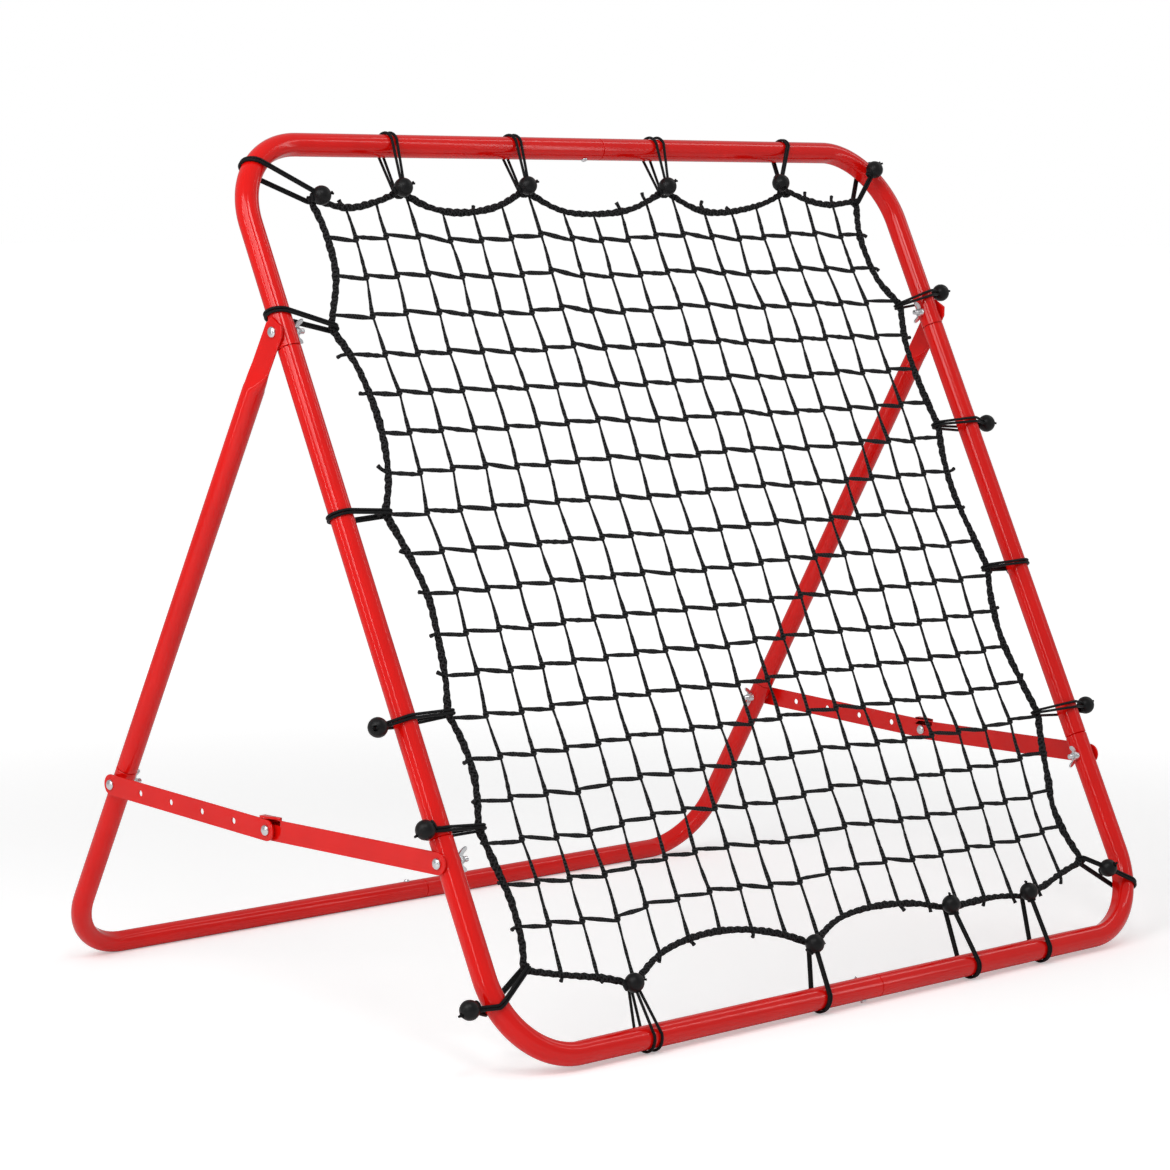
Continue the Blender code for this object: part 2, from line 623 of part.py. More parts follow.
def head_mesh(name, seat, stub):
    """A dome head with a short stub, which ends at height stub below its seat."""
    profile = [(BOLT_HEAD / 2 * r, seat + BOLT_HEAD_HEIGHT * h) for r, h in DOME]
    profile += [(BOLT / 2, seat), (BOLT / 2, stub), (0.0, stub)]
    return turned_mesh(name, profile, ROUND_STEPS)


def ring_mesh(name, inner, outer, low, high, steps=ROUND_STEPS):
    """A washer, spacer or nut blank."""
    return turned_mesh(name, [(inner, high), (outer, high), (outer, low), (inner, low)], steps, ring=True)


def wing_mesh(side):
    """One wing of a wing nut, upright on the hub's side."""
    curve = bpy.data.curves.new("wing", "CURVE")
    curve.dimensions = "2D"
    curve.fill_mode = "BOTH"
    curve.extrude = WING / 2
    spline = curve.splines.new("POLY")
    spline.points.add(len(WING_OUTLINE) - 1)
    for place, (out, up) in zip(spline.points, WING_OUTLINE):
        place.co = (side * out * WING_SPAN / 2, up * WING_HEIGHT, 0, 1)
    spline.use_cyclic_u = True
    made = loose("wing", curve)
    made.rotation_euler = (math.pi / 2, 0, 0)
    bpy.context.view_layer.update()
    return evaluated_mesh(made)


def wing_nut_mesh():
    """A wing nut that stands on z = 0 with its wings spread along local X."""
    hub = [(BOLT_HOLE, WING_HUB_HEIGHT), (WING_HUB_TOP / 2, WING_HUB_HEIGHT), (WING_HUB / 2, 0.0),
           (BOLT_HOLE, 0.0)]
    made = loose("wing_nut_hub", turned_mesh("wing_nut", hub, ROUND_STEPS, ring=True))
    wings = []
    for side in SIDES.values():
        wings.append(helper(f"wing_{side}", wing_mesh(side), made))
        combine(made, wings[-1], "UNION")
    bpy.context.view_layer.update()
    mesh = evaluated_mesh(made)
    for wing in wings:
        bpy.data.objects.remove(wing, do_unlink=True)
    return mesh


def nut_mesh(name):
    """A hexagon nut that stands on z = 0."""
    corner = 1 / math.cos(math.pi / 6)
    return ring_mesh(name, (BOLT / 2 + GAP) * corner, NUT_ACROSS / 2 * corner, 0.0, NUT, steps=6)


def outward_turn(side):
    """Lays local Z along world X, away from the frame's middle."""
    return (0, side * math.pi / 2, 0)


def fasteners():
    """Bolts, wing nuts, nuts, spacers and splice screws."""
    nut_seat = FRAME_RADIUS + GAP
    tail = -(nut_seat + BOLT_TAIL)
    leg_out = leg_offset(LEG_BRACE) + STAND_RADIUS + GAP
    leg_in = leg_offset(LEG_BRACE) - STAND_RADIUS - GAP
    stack_top = REAR_BAR_AT + BAR + GAP
    shared_nut = wing_nut_mesh()
    for name, side in SIDES.items():
        out = outward_turn(side)
        inward = outward_turn(-side)

        def fasten(label, mesh, point, carrier=None, turn=out, outwards=0.0):
            add(f"{label}_{name}", mesh, PLATING, side_point(side, point, outwards), turn, carrier)

        fasten("pivot_bolt", bolt_mesh("pivot_bolt", PLATE_AT + PLATE + GAP, tail), PIVOT)
        fasten("pivot_wing_nut", shared_nut.copy(), PIVOT, turn=inward, outwards=-nut_seat)
        fasten("front_bolt", bolt_mesh("front_bolt", FRONT_BAR_AT + BAR + GAP, tail), FRONT_END)
        fasten("front_wing_nut", shared_nut.copy(), FRONT_END, turn=inward, outwards=-nut_seat)
        collar = (leg_out, REAR_BAR_AT - GAP)
        fasten("rear_bolt", bolt_mesh("rear_bolt", 0, leg_in - BOLT_TAIL, collar), REAR_END, stand_pivot)
        fasten("rear_bolt_head", head_mesh("rear_bolt_head", stack_top, REAR_BAR_AT), REAR_END,
               elbow_pivot)
        fasten("rear_wing_nut", shared_nut.copy(), REAR_END, stand_pivot, inward, leg_in)
        spacer = ring_mesh("mid_spacer", BOLT_HOLE, BOLT_HEAD / 2, SPACER_AT, SPACER_AT + SPACER)
        fasten("mid_spacer", spacer, ELBOW, front_bar_pivot)
        inner_seat = FRONT_BAR_AT - GAP
        if side < 0:
            fasten("mid_bolt", bolt_mesh("mid_bolt", stack_top, inner_seat - NUT - NUT_TAIL), ELBOW,
                   front_bar_pivot)
            fasten("mid_nut", nut_mesh("mid_nut"), ELBOW, front_bar_pivot, inward, inner_seat)
        else:
            fasten("mid_bolt", bolt_mesh("mid_bolt", -inner_seat, -stack_top - NUT - NUT_TAIL), ELBOW,
                   front_bar_pivot, inward)
            fasten("mid_nut", nut_mesh("mid_nut"), ELBOW, front_bar_pivot, out, stack_top)
    for name, (middle, direction, outer, length) in SCREWS.items():
        seat = outer + GAP
        tip = seat - length
        profile = [(0.0, seat + SCREW_HEAD_HEIGHT), (SCREW_HEAD / 3, seat + SCREW_HEAD_HEIGHT),
                   (SCREW_HEAD / 2, seat + SCREW_HEAD_HEIGHT / 3), (SCREW_HEAD / 2, seat),
                   (SCREW / 2, seat), (SCREW / 2, tip + SCREW / 2), (0.0, tip)]
        carrier = stand_pivot if name == "foot_screw" else None
        made = add(name, turned_mesh(name, profile, 8), PLATING, middle, carrier=carrier)
        made.rotation_mode = "QUATERNION"
        made.rotation_quaternion = direction.to_track_quat("Z", "Y")


# ---- net, border rope and ties ----
def along_route(route, share, axis):
    """The point of a side of the rope's route that is a share of the way along axis."""
    target = route[0][axis] + (route[-1][axis] - route[0][axis]) * share
    for start, end in zip(route, route[1:]):
        low, high = sorted((start[axis], end[axis]))
        if low <= target <= high:
            t = (target - start[axis]) / (end[axis] - start[axis])
            return Vector(start).lerp(Vector(end), t)
    return Vector(route[-1])


def clear_of_ties(share, route, axis):
    """Moves a net cord's end along the rope until it stands clear of each tie."""
    length = route[-1][axis] - route[0][axis]
    place = route[0][axis] + length * share
    for _, (u, v), _ in TIES.values():
        tie = (u, v)
        nearest = along_route(route, (tie[axis] - route[0][axis]) / length, axis)
        on_side = abs(tie[1 - axis] - nearest[1 - axis])
        if on_side < ROPE and abs(place - tie[axis]) < END_CLEAR:
            place = tie[axis] + math.copysign(END_CLEAR, place - tie[axis])
    return (place - route[0][axis]) / length


def net_mesh():
    """A square-meshed net: a grid that follows the border rope, opened cell by cell."""
    bottom = [*ROPE_BOTTOM, ROPE_RIGHT[0]]
    right = [*ROPE_RIGHT, ROPE_TOP[0]]
    top = [*ROPE_TOP, ROPE_LEFT[0]][::-1]
    left = [*ROPE_LEFT, ROPE_BOTTOM[0]][::-1]
    inset = ROPE / 2 + NET_CLEAR
    routes = ((bottom, 0, (0, inset)), (top, 0, (0, -inset)),
              (left, 1, (inset, 0)), (right, 1, (-inset, 0)))

    def plain(s, t):
        """The grid without the rope's bows."""
        low = Vector(bottom[0]).lerp(Vector(bottom[-1]), s)
        high = Vector(top[0]).lerp(Vector(top[-1]), s)
        return low.lerp(high, t)

    build = bmesh.new()
    bmesh.ops.create_grid(build, x_segments=NET_CELLS, y_segments=NET_CELLS, size=0.5)
    for vert in build.verts:
        s = vert.co.x + 0.5
        t = vert.co.y + 0.5
        place = plain(s, t)
        for (route, axis, push), share, near, base in (
            (routes[0], s, (1 - t)**3, plain(s, 0)), (routes[1], s, t**3, plain(s, 1)),
            (routes[2], t, (1 - s)**3, plain(0, t)), (routes[3], t, s**3, plain(1, t)),
        ):
            end = along_route(route, clear_of_ties(share, route, axis), axis)
            place += (end + Vector(push) - base) * near
        vert.co = plane_point(place.x, place.y)
    border = {vert for vert in build.verts if vert.is_boundary}
    cells = list(build.faces)
    bmesh.ops.inset_individual(build, faces=cells, thickness=STRAND / 2, use_even_offset=True)
    outer = [face for face in build.faces if sum(vert in border for vert in face.verts) > 1]
    bmesh.ops.delete(build, geom=cells + outer, context="FACES")
    mesh = bpy.data.meshes.new("net")
    build.to_mesh(mesh)
    build.free()
    return mesh


def net():
    """The net and the rope round its border."""
    made = add("net", net_mesh(), NET_CORD)
    thick = made.modifiers.new("thickness", "SOLIDIFY")
    thick.thickness = STRAND
    thick.offset = 0
    route = [plane_point(u, v) for u, v in ROPE_ROUTE]
    rope = swept_mesh("border_rope", route, [ROPE / 2] * len(route), CORD_SIDES, closed=True)
    add("border_rope", rope, ROPE_YARN)


def outline_round(points):
    """The convex outline of points in a plane, anticlockwise."""
    ordered = sorted(set(points))

    def chain(run):
        kept = []
        for point in run:
            while len(kept) > 1 and ((kept[-1][0] - kept[-2][0]) * (point[1] - kept[-2][1])
                                     <= (kept[-1][1] - kept[-2][1]) * (point[0] - kept[-2][0])):
                kept.pop()
            kept.append(point)
        return kept[:-1]

    return chain(ordered) + chain(ordered[::-1])


def frame_middle(u, v):
    """The way in towards the net, square to the tube at a tie, and whether the tube bends there."""
    bend_u = HALF - FRAME_BEND
    low, high = FRAME_BEND, FRAME_HEIGHT - FRAME_BEND
    if abs(u) > bend_u and not low < v < high:
        centre = Vector((math.copysign(bend_u, u), low if v < low else high))
        return (centre - Vector((u, v))).normalized(), True
    if low < v < high:
        return Vector((-math.copysign(1, u), 0)), False
    return Vector((0, 1 if v < low else -1)), False


def tie_route(tube_at, rope_at, ball):
    """A stretched loop: the outline round the tube, the border rope and its ball."""
    inward, bent = frame_middle(*tube_at)
    along = Vector((-inward.y, inward.x))
    tube_at = Vector(tube_at)
    to_rope = Vector(rope_at) - tube_at
    to_ball = Vector(ball[:2]) - tube_at
    reach = to_rope.dot(inward)
    drift = to_rope.dot(along) / reach
    round_up = 1 / math.cos(math.pi / WRAP_POINTS)
    tube_wrap = (FRAME_RADIUS + GAP + CORD / 2 + (BEND_CLEAR if bent else 0)) * round_up
    rope_wrap = (ROPE / 2 + (CORNER_ROPE_CLEAR if bent else ROPE_CLEAR) + CORD / 2) * round_up
    ball_place = (to_ball.dot(inward), ball[2])
    places = [ball_place]
    for centre, radius in ((0.0, tube_wrap), (reach, rope_wrap)):
        for i in range(WRAP_POINTS):
            angle = 2 * math.pi * (i + 0.5) / WRAP_POINTS
            places.append((centre + radius * math.cos(angle), radius * math.sin(angle)))
    route = []
    for inwards, behind in outline_round(places):
        sideways = to_ball.dot(along) if (inwards, behind) == ball_place else drift * inwards
        u, v = tube_at + inward * inwards + along * sideways
        route.append(plane_point(u, v, behind))
    return route, plane_point(*ball)


def tie(name, tube_at, rope_at, ball):
    """A loop of elastic cord through its ball, pressed flat where it meets the floor."""
    route, ball_middle = tie_route(tube_at, rope_at, ball)
    mesh = swept_mesh(name, route, [CORD / 2] * len(route), CORD_SIDES, closed=True)
    for vert in mesh.vertices:
        vert.co.z = max(vert.co.z, 0.0)
    made = add(name, mesh, ELASTIC)
    build = bmesh.new()
    bmesh.ops.create_icosphere(build, subdivisions=2, radius=BALL / 2)
    ball_mesh = bpy.data.meshes.new(f"ball_{name}")
    build.to_mesh(ball_mesh)
    build.free()
    knob = bpy.data.objects.new(f"ball_{name}", ball_mesh)
    cutters.objects.link(knob)
    knob.location = ball_middle
    knob.hide_render = True
    knob.display_type = "WIRE"
    combine(made, knob, "UNION")


net_frame_tubes()
stand()
braces()
fasteners()
net()
for tie_name, (tube_at, rope_at, ball) in TIES.items():
    tie(tie_name, tube_at, rope_at, ball)
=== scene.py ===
"""Looks of the net rebounder: glossy red tubes, zinc fasteners, a knotted net and its elastic ties.

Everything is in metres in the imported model's frame. The net frame's own plane has u along X, v up the
plane from the bottom rail's centre-line, and w square to it, positive behind the net.
"""
import json
import math
import random

import bpy
from mathutils import Matrix, Vector


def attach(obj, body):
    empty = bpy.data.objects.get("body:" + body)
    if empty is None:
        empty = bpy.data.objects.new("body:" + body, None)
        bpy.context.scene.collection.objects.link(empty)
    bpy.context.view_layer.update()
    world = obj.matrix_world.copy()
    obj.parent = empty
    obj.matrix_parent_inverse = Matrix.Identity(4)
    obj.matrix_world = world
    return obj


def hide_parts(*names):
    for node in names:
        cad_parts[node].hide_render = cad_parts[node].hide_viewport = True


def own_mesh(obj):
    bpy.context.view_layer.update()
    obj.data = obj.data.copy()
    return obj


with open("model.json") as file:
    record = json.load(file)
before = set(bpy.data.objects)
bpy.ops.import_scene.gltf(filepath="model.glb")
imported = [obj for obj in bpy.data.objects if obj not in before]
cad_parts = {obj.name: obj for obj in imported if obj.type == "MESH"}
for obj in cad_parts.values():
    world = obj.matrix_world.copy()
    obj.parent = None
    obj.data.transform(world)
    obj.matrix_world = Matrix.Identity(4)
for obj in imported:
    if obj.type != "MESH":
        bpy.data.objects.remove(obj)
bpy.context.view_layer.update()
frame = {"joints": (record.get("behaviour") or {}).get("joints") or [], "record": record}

# ---- sizes, as the solids have them ----
FRAME_RADIUS = 0.0125
FRAME_HEIGHT = 1.000
FRAME_BEND = 0.092
STAND_RADIUS = 0.01175
STAND_BEND = 0.078
PIVOT_HEIGHT = 0.787
UPPER_SEAM = 0.769
LOWER_SEAM = 0.2375
SPLICE = 0.031
SPLICE_SCREW = 0.025
LEG_LENGTH = 0.814
LEG_SEAM = 0.557
PLATE = 0.003
PLATE_WIDTH = 0.029
PLATE_CORNER = 0.019
PLATE_REACH = 0.0125
FLAT_END = 0.040
ROUND_START = 0.068
BAR = 0.002
BAR_HEIGHT = 0.023
HOLE_PITCH = 0.0545
REAR_BAR_HOLES = 6
LIP_BEHIND = 0.0095
LIP_AHEAD = 0.018
LIP = 0.0025
SPACER = 0.0030
BOLT_RADIUS = 0.003
HEAD_RADIUS = 0.00575
HEAD_HEIGHT = 0.0034
TAIL = 0.0125                # of a bolt, past the seat of its wing nut
NUT = 0.005
NUT_TAIL = 0.001
NUT_ACROSS = 0.010
SCREW_RADIUS = 0.00175
SCREW_HEAD_RADIUS = 0.0035
SCREW_HEAD_HEIGHT = 0.002
BALL_RADIUS = 0.0104
ROPE_RADIUS = 0.0042
TIE_RADIUS = 0.0016          # each of a tie's two strands
GAP = 0.0003
GROOVE = 0.0010              # width of the step where one tube plugs into the next
SPIGOT = 0.0106              # radius of a swaged end of the frame's tube

# ---- places, from the frame ----
RECORD = frame["record"]
JOINTS = {joint["name"]: joint for joint in frame["joints"]}
BODY_OF = {node: body for body, nodes in RECORD["behaviour"]["bodies"].items() for node in nodes}
SIDES = {"left": -1, "right": 1}
X_AXIS = Vector((1, 0, 0))


def joint_place(name):
    """A joint's point, moved to the middle of the object."""
    place = Vector(JOINTS[name]["pos_m"])
    return Vector((0, place.y, place.z))


PIVOT = joint_place("stand_fold")
FRONT_END = joint_place("front_bar_swing")
ELBOW = joint_place("elbow_fold")
REAR_END = joint_place("rear_nut_turn_left")
HALF = abs(JOINTS["rear_nut_turn_left"]["pos_m"][0])
UP = (PIVOT - FRONT_END).normalized()
BEHIND = Vector((0, UP.z, -UP.y))
BASE = PIVOT - UP * PIVOT_HEIGHT
DOWN_LEG = (REAR_END - PIVOT).normalized()
ACROSS_LEG = Vector((0, -DOWN_LEG.z, DOWN_LEG.y))
LEG_BRACE = (REAR_END - PIVOT).length

# Layers outwards from a side tube's centre-line.
PLATE_AT = FRAME_RADIUS + GAP
FRONT_BAR_AT = FRAME_RADIUS + GAP
SPACER_AT = FRONT_BAR_AT + BAR + GAP
REAR_BAR_AT = SPACER_AT + SPACER + GAP
LEG_OFFSET = PLATE_AT + PLATE / 2


def plane_point(u, v, w=0.0):
    """A point given in the net frame's own plane."""
    return BASE + X_AXIS * u + UP * v + BEHIND * w


def leg_offset(down):
    """How far outside the side tube's centre-line a leg is."""
    return LEG_OFFSET * (1 - max(down - FLAT_END, 0.0) / (LEG_LENGTH - FLAT_END))


def leg_point(side, down, across=0.0, outwards=0.0):
    """A point down a leg, across it in the fold's plane, or outwards."""
    point = PIVOT + DOWN_LEG * down + ACROSS_LEG * across
    return point + X_AXIS * side * (HALF + leg_offset(down) + outwards)


def side_point(side, point, outwards=0.0):
    """A point of the fold's plane, moved to one side of the frame."""
    return Vector((side * (HALF + outwards), point.y, point.z))


# ---- the camera of the photograph ----
CAMERA_AT = Vector((-2.763, -2.848, 0.8715))
CAMERA_YAW = math.radians(43.59)
CAMERA_PITCH = math.radians(7.36)
CAMERA_ROLL = math.radians(0.34)
FOCAL_LENGTH = 108.2         # in millimetres, on a sensor 36 wide
LENS_SHIFT = 0.047


def make_camera():
    """A long lens from the front left, a little above the object's middle."""
    yaw, pitch, roll = CAMERA_YAW, CAMERA_PITCH, CAMERA_ROLL
    look = Vector((math.sin(yaw) * math.cos(pitch), math.cos(yaw) * math.cos(pitch), -math.sin(pitch)))
    level = Vector((math.cos(yaw), -math.sin(yaw), 0))
    above = level.cross(look)
    right = level * math.cos(roll) + above * math.sin(roll)
    above = above * math.cos(roll) - level * math.sin(roll)
    data = bpy.data.cameras.new("camera")
    data.lens = FOCAL_LENGTH
    data.sensor_width = 36.0
    data.shift_y = LENS_SHIFT
    data.clip_end = 100
    made = bpy.data.objects.new("camera", data)
    bpy.context.scene.collection.objects.link(made)
    turn = Matrix((right, above, -look)).transposed()
    made.matrix_world = Matrix.Translation(CAMERA_AT) @ turn.to_4x4()
    bpy.context.scene.camera = made


make_camera()


# ---- materials ----
class Surface:
    """A material's node tree, with short ways to add to it."""

    def __init__(self, name):
        self.material = bpy.data.materials.new(name)
        self.material.use_nodes = True
        self.tree = self.material.node_tree
        self.shader = self.tree.nodes["Principled BSDF"]

    def node(self, kind, inputs=None, **settings):
        """A node with its settings, and its inputs set or linked."""
        made = self.tree.nodes.new(kind)
        for key, value in settings.items():
            setattr(made, key, value)
        for key, value in (inputs or {}).items():
            self.feed(made, key, value)
        return made

    def feed(self, made, key, value):
        if isinstance(value, bpy.types.NodeSocket):
            self.tree.links.new(value, made.inputs[key])
        else:
            made.inputs[key].default_value = value

    def maths(self, operation, first, second=0.0):
        return self.node("ShaderNodeMath", {0: first, 1: second}, operation=operation).outputs[0]

    def noise(self, scale, detail=2.0, where=None):
        """Noise in the piece's own metres."""
        where = where or self.node("ShaderNodeTexCoord").outputs["Object"]
        made = self.node("ShaderNodeTexNoise", {"Vector": where, "Scale": scale, "Detail": detail})
        return made.outputs["Fac"]

    def between(self, share, low, high):
        """A value from low to high."""
        made = self.node("ShaderNodeMapRange", {"Value": share, "From Min": 0.3, "From Max": 0.7,
                                                "To Min": low, "To Max": high})
        return made.outputs["Result"]

    def mix(self, share, first, second):
        made = self.node("ShaderNodeMix", data_type="RGBA")
        self.feed(made, 0, share)
        self.feed(made, 6, (*first, 1))
        self.feed(made, 7, (*second, 1))
        return made.outputs[2]

    def bump(self, height, depth, strength=1.0):
        """Relief of a real depth in metres."""
        made = self.node("ShaderNodeBump", {"Height": height, "Distance": depth, "Strength": strength})
        self.tree.links.new(made.outputs["Normal"], self.shader.inputs["Normal"])

    def set(self, **values):
        """The shader's own sockets, by name with _ for a space."""
        for key, value in values.items():
            self.feed(self.shader, key.replace("_", " "), value)


def red_paint():
    """Glossy powder coat: slight orange peel and patches of unlike gloss."""
    made = Surface("red_paint")
    patches = made.between(made.noise(14.0), 0.0, 1.0)
    made.set(Base_Color=made.mix(patches, (0.76, 0.0055, 0.0035), (0.69, 0.0045, 0.0030)),
             Roughness=made.between(made.noise(60.0, 4.0), 0.09, 0.15), Specular_IOR_Level=0.34)
    made.bump(made.noise(300.0, 1.0), 0.00001, 0.5)
    return made.material


def zinc():
    """Bright zinc plate with fine scratches."""
    made = Surface("zinc")
    where = made.node("ShaderNodeTexCoord").outputs["Object"]
    stretched = made.node("ShaderNodeMapping", {"Vector": where, "Scale": (1.0, 1.0, 14.0)}).outputs[0]
    scratches = made.noise(500.0, 3.0, stretched)
    made.set(Base_Color=made.mix(made.noise(260.0), (0.84, 0.84, 0.86), (0.62, 0.62, 0.64)),
             Roughness=made.between(scratches, 0.16, 0.32), Metallic=1.0)
    made.bump(scratches, 0.00002)
    return made.material


def braid(name, colour, painted_glint, across, pitch, depth, roughness):
    """Braided cord: two sets of yarns that cross on the way round, in the cord's own (turn, length). A
    lighter colour on the yarns' crests is a painted highlight.
    """
    made = Surface(name)
    place = made.node("ShaderNodeSeparateXYZ", {0: made.node("ShaderNodeUVMap").outputs["UV"]})
    round_it = made.maths("MULTIPLY", place.outputs["X"], across * 2 * math.pi)
    along = made.maths("MULTIPLY", place.outputs["Y"], 2 * math.pi / pitch)
    one = made.maths("SINE", made.maths("ADD", along, round_it))
    other = made.maths("SINE", made.maths("SUBTRACT", along, round_it))
    yarns = made.maths("ADD", made.maths("MAXIMUM", one, other), made.noise(900.0, 3.0))
    # share masks the yarns' crests, which get the painted highlight colour
    share = made.between(made.maths("MULTIPLY", yarns, 0.45), 0.0, 1.0)
    made.set(Base_Color=made.mix(share, colour, painted_glint), Roughness=roughness, Specular_IOR_Level=0.12)
    made.bump(yarns, depth)
    return made.material


def black_plastic():
    """Matt moulded balls."""
    made = Surface("black_plastic")
    made.set(Base_Color=made.mix(made.noise(90.0), (0.0055, 0.0055, 0.006), (0.0085, 0.0085, 0.009)),
             Roughness=made.between(made.noise(700.0, 3.0), 0.30, 0.42), Specular_IOR_Level=0.2)
    made.bump(made.noise(1800.0, 2.0), 0.00003)
    return made.material


PAINT = red_paint()
ZINC = zinc()
# Each braid's second colour is a painted highlight on its yarns' crests.
NET_CORD = braid("net_cord", (0.002, 0.002, 0.0022), (0.034, 0.034, 0.036), 2, 0.004, 0.0004, 0.6)
ROPE_YARN = braid("rope_yarn", (0.0018, 0.0018, 0.002), (0.03, 0.03, 0.032), 2, 0.0046, 0.0005, 0.6)
ELASTIC = braid("elastic_sheath", (0.004, 0.004, 0.0045), (0.012, 0.012, 0.013), 6, 0.0022, 0.00012,
                0.42)
PLASTIC = black_plastic()


# ---- shapes ----
class Shape:
    """Points, faces and surface coordinates of one piece while it is built."""

    def __init__(self):
        self.points = []
        self.faces = []
        self.coords = []

    def loft(self, rings, closed=False, caps=True):
        """Skin over rings of equally many points. Surface coordinates are (turn, length)."""
        first = len(self.points)
        count = len(rings[0])
        lengths = [0.0]
        for near, far in zip(rings, rings[1:] + rings[:1]):
            lengths.append(lengths[-1] + (far[0] - near[0]).length)
        for ring in rings:
            self.points += ring
        for i in range(len(rings) if closed else len(rings) - 1):
            low = first + i * count
            high = first + (i + 1) % len(rings) * count
            for k in range(count):
                m = (k + 1) % count
                self.faces.append((low + k, low + m, high + m, high + k))
                self.coords += [(k / count, lengths[i]), ((k + 1) / count, lengths[i]),
                                ((k + 1) / count, lengths[i + 1]), (k / count, lengths[i + 1])]
        if caps and not closed:
            for start, order in ((first, -1), (first + (len(rings) - 1) * count, 1)):
                self.faces.append(tuple(range(start, start + count))[::order])
                self.coords += [(k / count, 0.0) for k in range(count)]

    def tube(self, path, radii, sides, closed=False, normal=None, flats=None):
        """A round skin along a path. flats gives each ring's flattening towards normal."""
        rings = []
        for i, (point, (side, out)) in enumerate(zip(path, moving_frame(path, closed, normal))):
            limit = 1 - flats[i] if flats else 1
            ring = []
            for k in range(sides):
                angle = 2 * math.pi * k / sides
                reach = soft_limit(math.cos(angle), limit) if limit < 1 else math.cos(angle)
                ring.append(point + (out * reach + side * math.sin(angle)) * radii[i])
            rings.append(ring)
        self.loft(rings, closed)

    def make(self, name, finish):
        """The finished object, smooth but for its real edges."""
        mesh = bpy.data.meshes.new(name)
        mesh.from_pydata(self.points, [], self.faces)
        layer = mesh.uv_layers.new(name="UVMap")
        layer.data.foreach_set("uv", [value for pair in self.coords for value in pair])
        mesh.materials.append(finish)
        mesh.shade_smooth()
        mesh.set_sharp_from_angle(angle=math.radians(38))
        made = bpy.data.objects.new(name, mesh)
        bpy.context.scene.collection.objects.link(made)
        return made


def soft_limit(value, limit, softness=0.04):
    """The lower of the two, with a rounded corner."""
    return (value + limit - math.sqrt((value - limit)**2 + softness**2)) / 2


def moving_frame(path, closed=False, normal=None):
    """For each point of a path, two directions square to it that don't spin along the way."""
    count = len(path)
    tangents = []
    for i in range(count):
        before = path[i - 1] if i or closed else path[i]
        after = path[(i + 1) % count] if i < count - 1 or closed else path[i]
        tangents.append((after - before).normalized())
    out = Vector(normal) if normal else tangents[0].orthogonal()
    frames = []
    for tangent in tangents:
        out = (out - tangent * out.dot(tangent)).normalized()
        frames.append((tangent.cross(out), out))
    if closed:
        turn = frames[-1][1].angle(frames[0][1]) * math.copysign(1, frames[-1][1].dot(frames[0][0]))
        spun = []
        for i, (side, out) in enumerate(frames):
            angle = turn * -i / count
            spun.append((side * math.cos(angle) - out * math.sin(angle),
                         out * math.cos(angle) + side * math.sin(angle)))
        frames = spun
    return frames


def fillet(start, corner, end, radius, steps):
    """The points of a round bend from start to end about a corner, both ends included."""
    to_start = (start - corner).normalized()
    to_end = (end - corner).normalized()
    half = to_start.angle(to_end) / 2
    centre = corner + (to_start + to_end).normalized() * radius / math.sin(half)
    first = (corner + to_start * radius / math.tan(half) - centre).normalized()
    last = (corner + to_end * radius / math.tan(half) - centre).normalized()
    return [centre + first.slerp(last, i / steps) * radius for i in range(steps + 1)]


def rounded(points, steps, closed=False):
    """A smooth curve through points (Catmull-Rom)."""
    count = len(points)
    spans = count if closed else count - 1
    path = []
    for i in range(spans):
        near, far = points[i], points[(i + 1) % count]
        before = points[i - 1] if i or closed else near * 2 - far
        after = points[(i + 2) % count] if i < count - 2 or closed else far * 2 - near
        for k in range(steps):
            t = k / steps
            path.append(0.5 * (near * 2 + (far - before) * t
                               + (before * 2 - near * 5 + far * 4 - after) * t**2
                               + (near * 3 - before - far * 3 + after) * t**3))
    if not closed:
        path.append(points[-1])
    return path


def smooth_step(share):
    share = max(0.0, min(1.0, share))
    return share * share * (3 - 2 * share)


def settle(piece, node):
    """Puts a piece in a node's place: on its body, instead of its solid."""
    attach(piece, BODY_OF[node])
    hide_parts(node)
    return piece


# ---- tubes ----
TUBE_SIDES = 48
BEND_STEPS = 28
BEND_FLAT = 0.13             # how far a bend's inner side is pressed flat, as a share of the radius
EDGE = 0.0004                # rounding of a cut tube's edge
SHORT_RUN = 10               # rings on a bent tube's straight runs, before its bend and after it
LONG_RUN = 14
PLATE_FLATNESS = 2.4         # of a leg's pressed end, where 1 is round
PRESS_STEPS = 12


def straight(start, end, steps):
    return [start.lerp(end, i / steps) for i in range(steps)]


